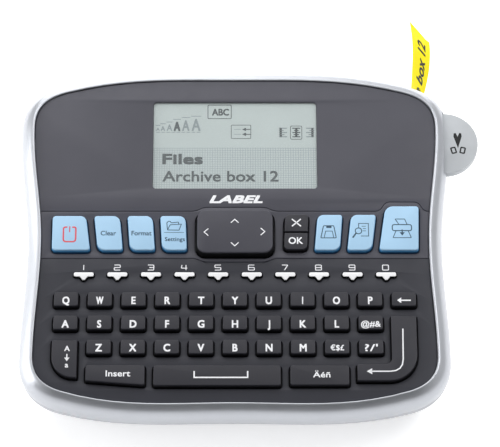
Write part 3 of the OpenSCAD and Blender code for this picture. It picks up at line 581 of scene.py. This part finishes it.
def word(text, u, v, height, n, bold=0.05, shear=0.0, align=0.5, width=None, most=None,
         thick=INK_THICK, place=on_face):
    """Lettering whose capitals are height tall, centred on v, and placed along u by align.

    It is made bolder by overlaid copies, a little apart."""
    points, faces = glyphs(text, shear)
    low = min(p.x for p in points)
    wide = (max(p.x for p in points) - low) * height
    if most:
        width = min(wide, most)
    squeeze = (width - bold * height) / wide if width else 1
    copies = []
    for k, (du, dv) in enumerate(((-1, -1), (1, -1), (-1, 1), (1, 1), (0, 0))):
        placed = []
        for p in points:
            across = u + ((p.x - low) * height - wide * align) * squeeze + du * bold * height / 2
            level = (n if p.z > 0 else n - thick) + k * COPY_STEP
            placed.append(place(across, v + (p.y - 0.5 + dv * bold / 2) * height, level))
        copies.append((placed, faces))
    return solid(copies)


def cut(piece, tools, operation="DIFFERENCE"):
    """Cuts, or adds, each tool in turn, and removes the tools."""
    for tool in tools:
        change = piece.modifiers.new("cut", "BOOLEAN")
        change.object = tool
        change.operation = operation
        change.solver = "EXACT"
        bpy.context.view_layer.update()
        evaluated = piece.evaluated_get(bpy.context.evaluated_depsgraph_get())
        mesh = bpy.data.meshes.new_from_object(evaluated)
        piece.modifiers.clear()
        piece.data = mesh
        bpy.data.objects.remove(tool)
    return piece


def prism(loop, low, high, place=in_row):
    return build("tool", *loft([[place(p.x, p.y, z) for p in loop] for z in (low, high)]))


def bay(x0, x1, y0, y1, z0, z1, radius):
    return prism(rounded((x0 + x1) / 2, (y0 + y1) / 2, x1 - x0, y1 - y0, radius), z0, z1)


def face_block(u0, u1, v0, v1, n0, n1):
    loop = [Vector((u0, v0)), Vector((u1, v0)), Vector((u1, v1)), Vector((u0, v1))]
    return prism(loop, n0, n1, on_face)


def rod(start, end, radius, steps=32):
    """A round bar between two points."""
    along = (end - start).normalized()
    side = along.orthogonal().normalized()
    other = along.cross(side)
    rings = []
    for p in (start, end):
        turns = [2 * math.pi * i / steps for i in range(steps)]
        rings.append([p + (side * math.cos(a) + other * math.sin(a)) * radius * MM for a in turns])
    return loft(rings)


def softened(name, node, width, look, body, segments=2, sharp=35, limit=30):
    """A node's own shape with its sharp edges broken, as a moulding has them."""
    shape = bmesh.new()
    shape.from_mesh(nodes[node].data)
    bmesh.ops.remove_doubles(shape, verts=shape.verts, dist=SAME_POINT)
    bmesh.ops.dissolve_limit(shape, angle_limit=math.radians(1), verts=shape.verts,
                             edges=shape.edges)
    edges = [e for e in shape.edges if len(e.link_faces) == 2
             and e.calc_face_angle(0) > math.radians(limit)]
    bmesh.ops.bevel(shape, geom=edges, offset=width * MM, segments=segments, profile=0.5,
                    affect="EDGES", clamp_overlap=True)
    mesh = bpy.data.meshes.new(name)
    shape.to_mesh(mesh)
    shape.free()
    piece = bpy.data.objects.new(name, mesh)
    bpy.context.scene.collection.objects.link(piece)
    return finish(piece, look, body, node, sharp=sharp)


# ---- outline of the housing -------------------------------------------------------------
# Right half from the top middle to the bottom middle: u, v, heading in degrees and length
# of the curve handles as a share of the chord
KNOTS = [
    (0, 69, 0, 0.36), (66, 63.8, -15, 0.45), (79.6, 48, -90, 0.36), (75.4, -4, -90, 0.36),
    (77.3, -50, -90, 0.42), (66, -64.4, -163, 0.36), (0, -69, -180, 0),
]
STEPS = (10, 14, 10, 10, 14, 10)
FRAME_DEPTH = 9.5
SEAM = 0.08
FRONT_SLIM = 0.14
LIP_SINK = 0.6
FLOOR_TOP = 4.0


def outline():
    """Points of the face's edge, anticlockwise, each with its outward direction."""
    half = []
    for (a, b), steps in zip(zip(KNOTS, KNOTS[1:]), STEPS):
        start, end = Vector(a[:2]), Vector(b[:2])
        handle = a[3] * (end - start).length
        turns = [math.radians(k[2]) for k in (a, b)]
        heads = [Vector((math.cos(t), math.sin(t))) for t in turns]
        first, second = start + heads[0] * handle, end - heads[1] * handle
        half.extend(geometry.interpolate_bezier(start, first, second, end, steps + 1)[:-1])
    half.append(Vector(KNOTS[-1][:2]))
    half = [Vector((p.x, p.y)) for p in half]
    left = [Vector((-p.x, p.y)) for p in half[1:-1]]
    loop = left + list(reversed(half))
    return loop, [way for way, reach in outward(loop)]


EDGE, EDGE_OUT = outline()


def grown(p, way, grow):
    """A point set out from the edge, by less at the front, where the rim is slimmer."""
    return p + way * grow * (1 - FRONT_SLIM * max(0, -way.y) ** 2)


def edge_ring(grow, n):
    """A ring at one height over the face. The lip is lower at the back."""
    ring = []
    for p, way in zip(EDGE, EDGE_OUT):
        sunk = LIP_SINK * max(0, way.y) ** 2 if n > 0 else 0
        ring.append(on_face(*grown(p, way, grow), n * (1 - sunk)))
    return ring


def curve_through(points, steps):
    """A smooth line through a few points."""
    spots = [Vector(p) for p in points]
    spots = [2 * spots[0] - spots[1]] + spots + [2 * spots[-1] - spots[-2]]
    path = []
    for a, b, c, d in zip(spots, spots[1:], spots[2:], spots[3:]):
        for k in range(steps):
            t = k / steps
            path.append(0.5 * ((2 * b) + (c - a) * t + (2 * a - 5 * b + 4 * c - d) * t ** 2
                               + (3 * b - a - 3 * c + d) * t ** 3))
    path.append(spots[-2])
    return path


TAB_SLOT = (74, 94, 29.2, 56.8)
TAB_SLOT_TOP = -3.4
TAB_NOTCH = (82.8, 95, 29.2, 56.8)


def upper_frame():
    """The silver rim: an upright lip, a rounded shoulder and a bulging wall."""
    lip = [(0.05, -2.1), (0.05, 0.85), (0.14, 1.08), (0.34, 1.2), (0.72, 1.2)]
    wall = curve_through([(0.95, 1.08), (1.6, 0.68), (2.4, 0.08), (3.25, -0.7), (4.1, -1.7),
                          (4.9, -3.0), (5.4, -4.5), (5.64, -6.2), (5.62, -7.9), (5.38, -9.42)], 4)
    inside = [(5.3, -9.5), (3.2, -9.5), (3.1, -4.4), (-2.6, -4.4), (-2.6, -2.1)]
    section = lip + [(p[0], p[1]) for p in wall] + inside
    rings = [edge_ring(grow, n) for grow, n in section]
    piece = build("upper_frame_shell", *loft(rings, around=True))
    cut(piece, [face_block(*TAB_SLOT, -FRAME_DEPTH - 2, TAB_SLOT_TOP),
                face_block(*TAB_NOTCH, -FRAME_DEPTH - 3, 5)])
    return finish(piece, "silver_plastic", "case", "upper_frame", sharp=38)


def tucked(grow, low, share, fullness=1.2):
    """A ring of the lower case, which tucks in towards the table, mostly at the front.

    With less fullness the front tucks in sooner."""
    ring = []
    for p, way in zip(EDGE, EDGE_OUT):
        top = on_face(*grown(p, way, grow), -FRAME_DEPTH - SEAM) / MM
        rear = math.sqrt(min(1, max(0, (top.y + 72) / 144)))
        inset = (12 - 7 * rear) * share ** (fullness + (3 - fullness) * rear)
        spot_at = (top.x - inset * way.x, top.y - inset * way.y, top.z + share * (low - top.z))
        ring.append(in_row(*spot_at))
    return ring


# Each case screw's x and y, and the heights of its head's seat and of its post's top
SCREWS = [(45.5, -20.8, 13, 21), (-45.5, -20.8, 13, 21), (42, 59.4, 24, 32), (-42, 59.4, 24, 32)]
POST_R, WELL_R, SHAFT_R = 4.2, 2.9, 1.5
# The cassette door's hinge line, as y and z, and where its knuckles start along x
HINGE = (-0.6, 3.4)
KNUCKLE, KNUCKLE_R, HINGE_BORE_R = 8, 1.7, 1.05
CASE_KNUCKLES, DOOR_KNUCKLES = (-10.2, 7.8, 25.8), (-2, 16, 34)
LEDGE_Z = (3.8, 5.2)
JACK_HOLE_R = 3.6
# The slit that the label tape leaves by
SLIT_AT, SLIT_HALF, SLIT_Z = (70.4, 67), (1.7, 7), (9.8, 23.8)
SLIT_TURN = math.radians(-13.4)


def lower_case():
    """The deep lower half, with its door bays, screw wells, jack hole and tape slit."""
    shares = [0, 0.01, 0.1, 0.2, 0.31, 0.42, 0.52, 0.62, 0.71, 0.8, 0.87, 0.93, 0.97, 1]
    inner = [tucked(3.2, FLOOR_TOP, s) for s in reversed(shares)]
    outer = [tucked(5.3, 1.6, 0, 1)] + [tucked(5.38, 1.6, s, 1) for s in shares[1:]]
    piece = build("lower_case_shell", *loft(inner + outer))
    cas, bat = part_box("cassette_door"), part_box("battery_door")
    door = [c / MM for c in (cas[0].x, cas[1].x, 0.0026, cas[1].y)]
    hatch = [c / MM for c in (bat[0].x, bat[1].x, bat[0].y, bat[1].y)]
    ledge = bay(door[0] - 2, door[1] + 1.8, door[2] - 2.5, door[3] + 1.5, *LEDGE_Z, 3)
    ledge_2 = bay(hatch[0] - 2, hatch[1] + 1.8, -0.5, hatch[3] + 1.5, *LEDGE_Z, 3)
    clip = build("tool", *loft([tucked(4.4, 1.6, s) for s in shares]))
    for rim in (ledge, ledge_2):
        crop = clip.copy()
        crop.data = clip.data.copy()
        bpy.context.scene.collection.objects.link(crop)
        cut(rim, [crop], "INTERSECT")
    bpy.data.objects.remove(clip)
    cut(ledge, [bay(door[0] + 1.2, door[1] - 2.8, door[2] + 2, door[3] - 2.8, 3, 6, 2)])
    cut(ledge_2, [bay(hatch[0] + 1.9, hatch[1] - 2.3, 7.4, hatch[3] - 2.8, 3, 6, 2)])
    gap = 0.35
    cut(piece, [
        bay(door[0] - gap, door[1] + gap, door[2] - 0.7, door[3] + gap, 0, FLOOR_TOP + 0.05, 3.3),
        bay(hatch[0] - gap, hatch[1] + gap, hatch[2] - 6.65, hatch[3] + gap, 0, FLOOR_TOP + 0.05,
            3.3),
    ])
    posts = [build("tool", *rod(in_row(x, y, FLOOR_TOP - 0.2), in_row(x, y, top), POST_R))
             for x, y, seat, top in SCREWS]
    knuckles = [build("tool", *rod(in_row(x, *HINGE), in_row(x + KNUCKLE, *HINGE), KNUCKLE_R))
                for x in CASE_KNUCKLES]
    cut(piece, [ledge, ledge_2] + posts + knuckles, "UNION")
    gaps = [bay(x - 0.3, x + KNUCKLE + 0.3, HINGE[0] - 2.4, HINGE[0] + 2.9, 0, 6.4, 0.3)
            for x in DOOR_KNUCKLES]
    wells = [build("tool", *rod(in_row(x, y, 0), in_row(x, y, seat), WELL_R))
             for x, y, seat, top in SCREWS]
    shafts = [build("tool", *rod(in_row(x, y, 0), in_row(x, y, top + 1), SHAFT_R))
              for x, y, seat, top in SCREWS]
    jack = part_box("dc_jack")
    at = [(jack[0].x + jack[1].x) / 2 / MM, (jack[0].z + jack[1].z) / 2 / MM]
    hole = build("tool", *rod(in_row(at[0], 58, at[1]), in_row(at[0], 90, at[1]), JACK_HOLE_R))
    turn = Matrix.Rotation(SLIT_TURN, 3, "Z")
    w, d = SLIT_HALF
    corners = ((-w, -d), (w, -d), (w, d), (-w, d))
    slit = [in_row(*SLIT_AT, 0) + turn @ in_row(x, y, 0) for x, y in corners]
    mouth = prism([p.to_2d() / MM for p in slit], *SLIT_Z)
    bore = build("tool", *rod(in_row(-12, *HINGE), in_row(44, *HINGE), HINGE_BORE_R))
    tab = [face_block(*TAB_SLOT, -FRAME_DEPTH - 2, TAB_SLOT_TOP),
           face_block(*TAB_NOTCH, -FRAME_DEPTH - 2, 5)]
    cut(piece, gaps + wells + shafts + [hole, mouth, bore] + tab)
    return finish(piece, "case_plastic", "case", "lower_case", sharp=30)


# ---- panels ------------------------------------------------------------------------------
def hanging(name, n):
    """The part of a node that hangs below a plate, such as its screw bosses."""
    shape = bmesh.new()
    shape.from_mesh(nodes[name].data)
    bmesh.ops.remove_doubles(shape, verts=shape.verts, dist=SAME_POINT)
    depth = {v: to_face(v.co).z for v in shape.verts}
    kept = [f for f in shape.faces if all(depth[v] < n + 0.05 for v in f.verts)
            and any(depth[v] < n - 0.05 for v in f.verts)]
    order = {v: i for i, v in enumerate({v for f in kept for v in f.verts})}
    points = [v.co.copy() for v in order]
    faces = [[order[v] for v in f.verts] for f in kept]
    shape.free()
    return points, faces


PANEL = -2.0
make("display_bezel",
     plate(plans("display_panel"), PANEL, 0, 0.3) + [hanging("display_panel", PANEL)],
     "panel_plastic", "case", "display_panel")
make("function_band", plate(plans("function_panel"), PANEL, 0, 0.22), "panel_plastic", "case",
     "function_panel")
make("keyboard_plate",
     plate(plans("keyboard_panel"), PANEL, 0, 0.22) + [hanging("keyboard_panel", PANEL)],
     "keyboard_plastic", "case", "keyboard_panel")
upper_frame()
lower_case()

# ---- keys --------------------------------------------------------------------------------
KEY, BLUE, NAV = 2.2, 2.0, 3.5
INK = 0.03
dark = {"height": KEY, "side": 0.25, "back": 0.1, "front": 0.3, "edge": 0.25}
dark_keys = [
    "letter_keys_top_row", "letter_keys_middle_row", "letter_keys_bottom_row", "backspace_key",
    "symbol_key", "currency_key", "punctuation_key", "shift_key", "insert_key", "space_key",
    "accent_key", "enter_key",
]
for name in dark_keys:
    make(name + "_caps", [cap(loop, **dark) for loop in plans(name)], "key_plastic", name, name)
for name in ("cancel_key", "ok_key"):
    caps = [cap(loop, KEY, 0.2, 0.05, 0.15, 0.25, rim=0) for loop in plans(name)]
    make(name + "_cap", caps, "key_plastic", name, name)
for name in ("power_key", "clear_key", "format_key", "settings_key", "save_key", "preview_key",
             "print_key"):
    caps = [cap(loop, BLUE, 0.15, 0.1, 0.35, 0.4) for loop in plans(name)]
    make(name + "_cap", caps, "blue_plastic", name, name)
make("number_caps",
     [cap(loop, 1.2, 0.05, 0.05, 0.05, 0.15, rim=0.6) for loop in plans("number_keys")],
     "white_plastic", "number_keys", "number_keys")
make("nav_cap", [cap(loop, NAV, 0.4, 0.1, 0.45, 0.5, low=-2.8, rim=0) for loop in plans("nav_pad")],
     "nav_plastic", "nav_pad", "nav_pad")


# ---- legends -----------------------------------------------------------------------------
def column(i):
    return -65 + 13 * i


ROWS = (-27.65, -37.45, -47.25)
on_key = KEY + INK
for name, row, start, letters in (("letter_keys_top_row", 0, 0, "QWERTYUIOP"),
                                  ("letter_keys_middle_row", 1, 0, "ASDFGHJKL"),
                                  ("letter_keys_bottom_row", 2, 1, "ZXCVBNM")):
    marks = [word(c, column(start + i), ROWS[row], 3.1, on_key, bold=0.08, most=2.8)
             for i, c in enumerate(letters)]
    make(name + "_legends", marks, "white_ink", name)

# Each numeral as strokes in a box one unit wide and one tall
NUMERALS = {
    "1": [[(0.5, 0), (0.5, 1)]],
    "2": [[(0, 1), (1, 1), (1, 0.5), (0, 0.5), (0, 0), (1, 0)]],
    "3": [[(0, 1), (1, 1), (1, 0), (0, 0)], [(0.25, 0.5), (1, 0.5)]],
    "4": [[(0.1, 1), (0, 0.38), (1, 0.38)], [(0.78, 1), (0.78, 0)]],
    "5": [[(1, 1), (0, 1), (0, 0.5), (1, 0.5), (1, 0), (0, 0)]],
    "6": [[(1, 1), (0, 1), (0, 0), (1, 0), (1, 0.52), (0, 0.52)]],
    "7": [[(0, 1), (1, 1), (0.42, 0)]],
    "8": [[(0, 0.5), (0, 1), (1, 1), (1, 0), (0, 0), (0, 0.5), (1, 0.5)]],
    "9": [[(1, 0.48), (0, 0.48), (0, 1), (1, 1), (1, 0), (0, 0)]],
    "0": [[(0.5, 1), (1, 1), (1, 0), (0, 0), (0, 1), (0.5, 1)]],
}
marks = []
for i, digit in enumerate("1234567890"):
    u, v, wide, tall = column(i) + 6.35, -12.95, 2.3, 2.15
    for stroke in NUMERALS[digit]:
        path = [(u + (x - 0.5) * wide, v + (y - 0.5) * tall) for x, y in stroke]
        marks.append(line(path, 0.36, INK, 0.35))
make("numerals", marks, "white_ink", "case")

back = column(10)
make("backspace_legend", [line([(back + 2.6, -27.7), (back - 1.2, -27.7)], 0.55, on_key),
                          patch([(back - 2.7, -27.7), (back - 1.1, -28.9), (back - 1.1, -26.5)],
                                on_key)],
     "white_ink", "backspace_key")
make("symbol_legend", [word("@#&", column(9), ROWS[1], 2.5, on_key, width=7.6)], "white_ink",
     "symbol_key")
make("currency_legend", [word("€$£", column(8), ROWS[2], 2.3, on_key, width=5.2)],
     "white_ink", "currency_key")
make("punctuation_legend", [word("?/'", column(9), ROWS[2], 2.9, on_key, width=5)],
     "white_ink", "punctuation_key")
make("insert_legend", [word("Insert", -44.4, -57.8, 2.5, on_key, width=9.4)], "white_ink",
     "insert_key")
make("space_legend",
     [line([(-15.5, -56.9), (-15.5, -59.5), (4.8, -59.5), (4.8, -56.9)], 0.55, on_key)],
     "white_ink", "space_key")
make("accent_legend", [word("Äéñ", 32.9, -58.3, 2.3, on_key, width=6.6)], "white_ink",
     "accent_key")
make("shift_legend", [word("A", -64, -47.6, 2.2, on_key), word("a", -64, -54.3, 2.2, on_key),
                      line([(-64, -49.9), (-64, -52.1)], 0.45, on_key),
                      patch([(-65, -51.4), (-64, -52.9), (-63, -51.4)], on_key)],
     "white_ink", "shift_key")
make("enter_legend", [line([(64.2, -39.5), (63.9, -57.0), (51.4, -57.0)], 0.5, on_key, 5),
                      patch([(50, -57), (52.1, -55.8), (52.1, -58.2)], on_key)],
     "white_ink", "enter_key")
make("cancel_legend", [line([(22.2, 6.8), (25.7, 3.7)], 0.5, on_key),
                       line([(22.2, 3.7), (25.7, 6.8)], 0.5, on_key)], "white_ink", "cancel_key")
make("ok_legend", [word("OK", 23.6, -2.35, 2.9, on_key, width=5.6)], "white_ink", "ok_key")
chevrons = [[(-1.6, 4.6), (-0.1, 6.1), (1.4, 4.6)], [(-1.6, -3.8), (-0.1, -5.3), (1.4, -3.8)],
            [(-10.4, 2.1), (-12, 0.6), (-10.4, -0.9)], [(10, 2.3), (11.6, 0.8), (10, -0.7)]]
make("nav_legends", [line(path, 0.38, NAV + INK) for path in chevrons], "white_ink", "nav_pad")

# ---- function key icons ------------------------------------------------------------------
on_blue = BLUE + INK


def ring_of(u, v, radius, steps=24):
    turns = (2 * math.pi * i / steps for i in range(steps))
    return [(u + radius * math.cos(a), v + radius * math.sin(a)) for a in turns]


power = [(-65.3, 3.4), (-66.8, 3.4), (-66.8, -2.8), (-62, -2.8), (-62, 3.4), (-63.5, 3.4)]
make("power_icon", [line(power, 0.6, on_blue, 1.2),
                    line([(-64.4, 3.8), (-64.4, 1.2)], 0.4, on_blue)],
     "red_ink", "power_key")
make("clear_word", [word("Clear", -49.3, 0.9, 2.0, on_blue, 0.03, width=6)], "slate_ink",
     "clear_key")
make("format_word", [word("Format", -36.4, 0.9, 2.0, on_blue, 0.03, width=7.8)], "slate_ink",
     "format_key")
folder = [(-26.3, 2.2), (-26.6, 5.3), (-26, 5.9), (-25.3, 5.9), (-24.8, 5.2), (-22.1, 5.6),
          (-21.9, 4.7)]
flap = [(-26.3, 2.2), (-25.3, 4.4), (-20.9, 4.7), (-21.8, 2.1)]
make("settings_icon", [line(folder, 0.3, on_blue, 0.2), line(flap, 0.3, on_blue, 0.2, closed=True),
                       line([(-27.6, 1.1), (-19.9, 1.1)], 0.18, on_blue),
                       word("Settings", -23.4, -1.7, 1.7, on_blue, 0.03, width=7.8)],
     "slate_ink", "settings_key")
disk = [(34.5, 4), (38.5, 4), (39.4, -1.2), (33.4, -1.2)]
make("save_icon", [line(disk, 0.34, on_blue, 0.3, closed=True), block(36.6, 3.5, 2.0, 0.9, on_blue),
                   line([(34.7, -1.1), (35.3, 1.7), (37.9, 1.7), (38.4, -1.1)], 0.26, on_blue)],
     "slate_ink", "save_key")
page = [(48.2, 2.9), (48.2, 5), (52, 5), (52, -0.4), (49, -0.4)]
make("preview_icon", [line(page, 0.28, on_blue),
                      line(ring_of(48.1, 1.8, 1.25), 0.36, on_blue, closed=True),
                      line([(47.2, 0.9), (45.8, -1.1)], 0.6, on_blue),
                      line([(49.4, 3.8), (51, 3.8)], 0.22, on_blue),
                      line([(49.8, 2.8), (51, 2.8)], 0.22, on_blue),
                      line([(49.8, 1.8), (51, 1.8)], 0.22, on_blue)],
     "slate_ink", "preview_key")
make("print_icon", [line([(63.9, 4.6), (62.5, 6.9), (66.2, 6.9), (67.1, 4.6)], 0.3, on_blue, 0.2),
                    line([(61.3, 4.5), (68.8, 4.5), (68.8, 1.9), (61.3, 1.9)], 0.4, on_blue, 0.9,
                         closed=True),
                    line([(62.7, 1.8), (61.5, -1.1), (68.6, -1.1), (67.5, 1.8)], 0.3, on_blue, 0.2),
                    line([(65.1, 2.4), (65.1, 0.9)], 0.45, on_blue),
                    patch([(64.1, 1.2), (65.1, -0.2), (66.1, 1.2)], on_blue)],
     "slate_ink", "print_key")
make("panel_word", [word("LABEL", 0.4, 16.5, 3.2, INK, bold=0.14, shear=0.3, width=21)],
     "white_ink", "case")

# ---- display -----------------------------------------------------------------------------
GLASS = -0.95 + INK


def on_glass(u, v, n):
    """The display's marks lie a little below where the bare face would show them."""
    return on_face(u, v - 0.5, GLASS + n)


def lcd_line(points, width, round_by=0.0, closed=False):
    return line(points, width, 0, round_by, closed, place=on_glass)


def lcd_word(text, u, v, height, bold=0.04, **where):
    return word(text, u, v, height, 0, bold, place=on_glass, **where)


def box(u0, u1, v0, v1, width=0.25, round_by=0.5):
    return lcd_line([(u0, v0), (u0, v1), (u1, v1), (u1, v0)], width, round_by, closed=True)


art = [box(-10.8, -1.5, 53, 59.1, 0.3), lcd_word("ABC", -5.8, 56, 3.0, 0.08, width=6.8),
       lcd_word("Files", -28.5, 35.15, 4.5, 0.11, align=0, width=16),
       lcd_word("Archive box 12", -28.5, 27.55, 4.7, 0.05, align=0, width=45.8)]
faint = []
# The same letter in six growing sizes with the fourth chosen, each with a bar above it
sizes = ((-30.7, 1.4, 1.5), (-28.7, 2.1, 1.8), (-26.1, 2.9, 2.2), (-23.1, 4.1, 2.7),
         (-19.6, 4.9, 3.0), (-15.5, 5.5, 3.6))
for k, (u, tall, wide) in enumerate(sizes):
    into = art if k == 3 else faint
    into.append(lcd_word("A", u, 47.6 + tall / 2, tall, 0.1 if k == 3 else 0.05, width=wide))
    reach = wide / 2 + 0.2
    faint.append(lcd_line([(u - reach, 48.6 + tall), (u + reach, 48.6 + tall)], 0.28))
for i in range(9):
    faint.append(lcd_line([(-31.3 + 2 * i, 46.9), (-29.8 + 2 * i, 46.9)], 0.28))
art.append(box(-1.5, 6.3, 44.1, 50.1))
for v in (48.2, 46.0):
    faint.append(lcd_line([(-0.4, v), (2.4, v)], 0.2))
    art.append(lcd_line([(4, v), (6.1, v)], 0.34))
    art.append(lcd_line([(4.4, v + 0.5), (3.3, v), (4.4, v - 0.5)], 0.5))
# Three alignment marks: to the left, centred in its box, and to the right
for left, pull in ((17.5, 0), (22.8, 0.5), (28.3, 1)):
    for k, length in enumerate((3.2, 1.9, 3.2, 2.2, 3.2)):
        start = left + (3.2 - length) * pull
        into = art if pull == 0.5 else faint
        into.append(lcd_line([(start, 48.7 - 0.95 * k), (start + length, 48.7 - 0.95 * k)], 0.45))
    stem = left + 0.7 + 1.8 * pull
    art.append(lcd_line([(stem, 48.9), (stem, 44.7)], 0.9))
art.append(box(22.1, 26.6, 43.8, 49.7))
make("display_marks", art, "lcd_ink", "case")
make("display_faint_marks", faint, "faint_lcd_ink", "case")

# ---- cutter tab -----------------------------------------------------------------------------
softened("cutter_tab", "cutter_lever", 0.5, "lever_plastic", "cutter", segments=3)
TAB = -4 + INK
MIDDLE = 88.82
blades = [(0, 40.9), (-1.65, 46.1), (-1.5, 47.4), (-0.75, 47.7), (0, 46), (0.75, 47.7),
          (1.5, 47.4), (1.65, 46.1)]
scissors = [patch([(MIDDLE + x, y) for x, y in blades], TAB)]
for side in (-1, 1):
    turn = Matrix.Rotation(math.radians(-14 * side), 2)
    corners = ((-0.85, -1.2), (0.85, -1.2), (0.85, 1.2), (-0.85, 1.2))
    grip = [Vector((MIDDLE + 1.8 * side, 39.9)) + turn @ Vector(p) for p in corners]
    scissors.append(line(grip, 0.58, TAB, 0.3, closed=True))
make("scissors_icon", scissors, "black_ink", "cutter")

# ---- label tape -----------------------------------------------------------------------------
TAPE_WIDTH, TAPE_THICK, END_SLANT = 12, 0.16, 2.5
# x, y, z and lean in degrees along the middle of the tape
ROUTE = [
    (15, 8, 16.8, 0), (40, 8, 16.8, 0), (58.2, 8, 16.8, 0), (62.1, 9.1, 16.8, 0),
    (65.2, 12.1, 16.8, 0), (66.3, 16, 16.8, 0), (66.32, 30, 16.8, 0), (66.32, 49, 16.8, 0),
    (66.8, 53, 16.8, 0), (68, 58, 16.8, 0), (70.2, 67, 16.8, 0), (71.5, 72, 16.8, 1),
    (73.6, 79, 17.7, 9), (75.5, 87, 19.4, 21), (77, 95, 21.4, 31), (78.1, 103.5, 23, 38),
    (78.5, 112, 23.6, 42), (78.3, 119.5, 23, 44),
]
CURVE = curve_through(ROUTE, 5)
LENGTHS = [0.0]
for a, b in zip(CURVE, CURVE[1:]):
    LENGTHS.append(LENGTHS[-1] + (b - a).to_3d().length)


def on_tape(along, across=0.0, lift=0.0):
    """A point of the tape: along it, across it, and out of its printed side."""
    i = max(k for k in range(len(CURVE) - 1) if LENGTHS[k] <= max(along, 0))
    share = (along - LENGTHS[i]) / (LENGTHS[i + 1] - LENGTHS[i])
    p = CURVE[i].lerp(CURVE[i + 1], share)
    nearby = [CURVE[max(0, i - 1)].to_3d(), CURVE[min(len(CURVE) - 1, i + 2)].to_3d()]
    ahead = (nearby[1] - nearby[0]).normalized()
    side = ahead.cross(Vector((0, 0, 1))).normalized()
    up = side.cross(ahead)
    lean = math.radians(p[3])
    width_way = up * math.cos(lean) - side * math.sin(lean)
    out_way = side * math.cos(lean) + up * math.sin(lean)
    return (p.to_3d() + width_way * across + out_way * lift) * MM


rings = []
for along in LENGTHS:
    slant = END_SLANT if along == LENGTHS[-1] else 0
    ring = []
    for k in range(7):
        across = TAPE_WIDTH * (k / 6 - 0.5)
        ring.append(on_tape(along + slant * (k / 3 - 1), across, TAPE_THICK / 2))
    for k in range(6, -1, -1):
        across = TAPE_WIDTH * (k / 6 - 0.5)
        ring.append(on_tape(along + slant * (k / 3 - 1), across, -TAPE_THICK / 2))
    rings.append(ring)
make("tape_strip", [loft(rings)], "yellow_tape", "case", "label_tape", sharp=50)
make("tape_words", [word("Archive box 12", LENGTHS[-1] - 5.6, 0, 5.2, TAPE_THICK / 2 + 0.1, 0.05, 0.3,
                         align=1, width=46, thick=0.09, place=on_tape)], "tape_ink", "case")

# ---- underside ------------------------------------------------------------------------------
softened("cassette_hatch", "cassette_door", 0.25, "case_plastic", "cassette_door")
softened("battery_hatch", "battery_door", 0.25, "case_plastic", "battery_door")
softened("foot_strip", "foot_ring", 0.35, "rubber", "case")

# Every node that keeps its own shape takes the look of its slot
for node in nodes.values():
    for slot in node.material_slots:
        slot.material = looks[slot.material.name]


# ---- stage, light and camera ----------------------------------------------------------------
def studio_floor():
    material, tree, shader = new_material("paper_floor")
    tint = ramp(tree, noise(tree, 6, 3), linear(246, 246, 247), linear(252, 252, 252))
    tree.links.new(tint, shader.inputs["Base Color"])
    shader.inputs["Roughness"].default_value = 0.35
    shader.inputs["Emission Color"].default_value = (1, 1, 1, 1)
    shader.inputs["Emission Strength"].default_value = 0.55
    half = 3.0
    corners = [(-half, -half, 0), (half, -half, 0), (half, half, 0), (-half, half, 0)]
    floor = build("floor", [Vector(p) for p in corners], [[0, 1, 2, 3]])
    floor.data.materials.append(material)


def softbox(name, place, size, power):
    light = bpy.data.lights.new(name, "AREA")
    light.shape = "RECTANGLE"
    light.size, light.size_y = size
    light.energy = power
    lamp = bpy.data.objects.new(name, light)
    lamp.location = place
    lamp.rotation_euler = (LIGHT_AIM - Vector(place)).to_track_quat("-Z", "Y").to_euler()
    bpy.context.scene.collection.objects.link(lamp)


LIGHT_AIM = Vector((0, 0, 0.03))
studio_floor()
softbox("key_light", (-0.35, 0.75, 1.05), (1.1, 0.9), 7)
softbox("top_light", (0.75, 0.25, 1.1), (0.8, 0.8), 6)
softbox("left_light", (-1.2, 0, 0.3), (0.9, 0.5), 7)
softbox("back_light", (0, 1.3, 0.42), (1.6, 0.5), 7)

world = bpy.data.worlds.new("studio")
world.use_nodes = True
sky = world.node_tree
where = sky.nodes.new("ShaderNodeTexCoord")
front = sky.nodes.new("ShaderNodeVectorMath")
front.operation = "DOT_PRODUCT"
front.inputs[1].default_value = Vector((0, -1, 0.3)).normalized()
sky.links.new(where.outputs["Generated"], front.inputs[0])
share = sky.nodes.new("ShaderNodeMapRange")
share.inputs["From Min"].default_value = 0.5
share.inputs["From Max"].default_value = 0.85
sky.links.new(front.outputs["Value"], share.inputs["Value"])
room = blended(sky, share.outputs["Result"], (1, 1, 1, 1), (0.07, 0.075, 0.08, 1))
sky.links.new(room, sky.nodes["Background"].inputs["Color"])
sky.nodes["Background"].inputs["Strength"].default_value = 0.53
scene = bpy.context.scene
scene.world = world
scene.view_settings.view_transform = "Standard"

ELEVATION = math.radians(54)
TARGET = in_row(0, 5.79, 42.13)
DISTANCE = 0.98
camera = bpy.data.cameras.new("camera")
camera.sensor_width = 36
camera.lens = 180.5
camera.shift_x = 0.03
camera.clip_end = 20
eye = bpy.data.objects.new("camera", camera)
eye.location = TARGET + DISTANCE * Vector((0, -math.cos(ELEVATION), math.sin(ELEVATION)))
eye.rotation_euler = (TARGET - eye.location).to_track_quat("-Z", "Y").to_euler()
scene.collection.objects.link(eye)
scene.camera = eye
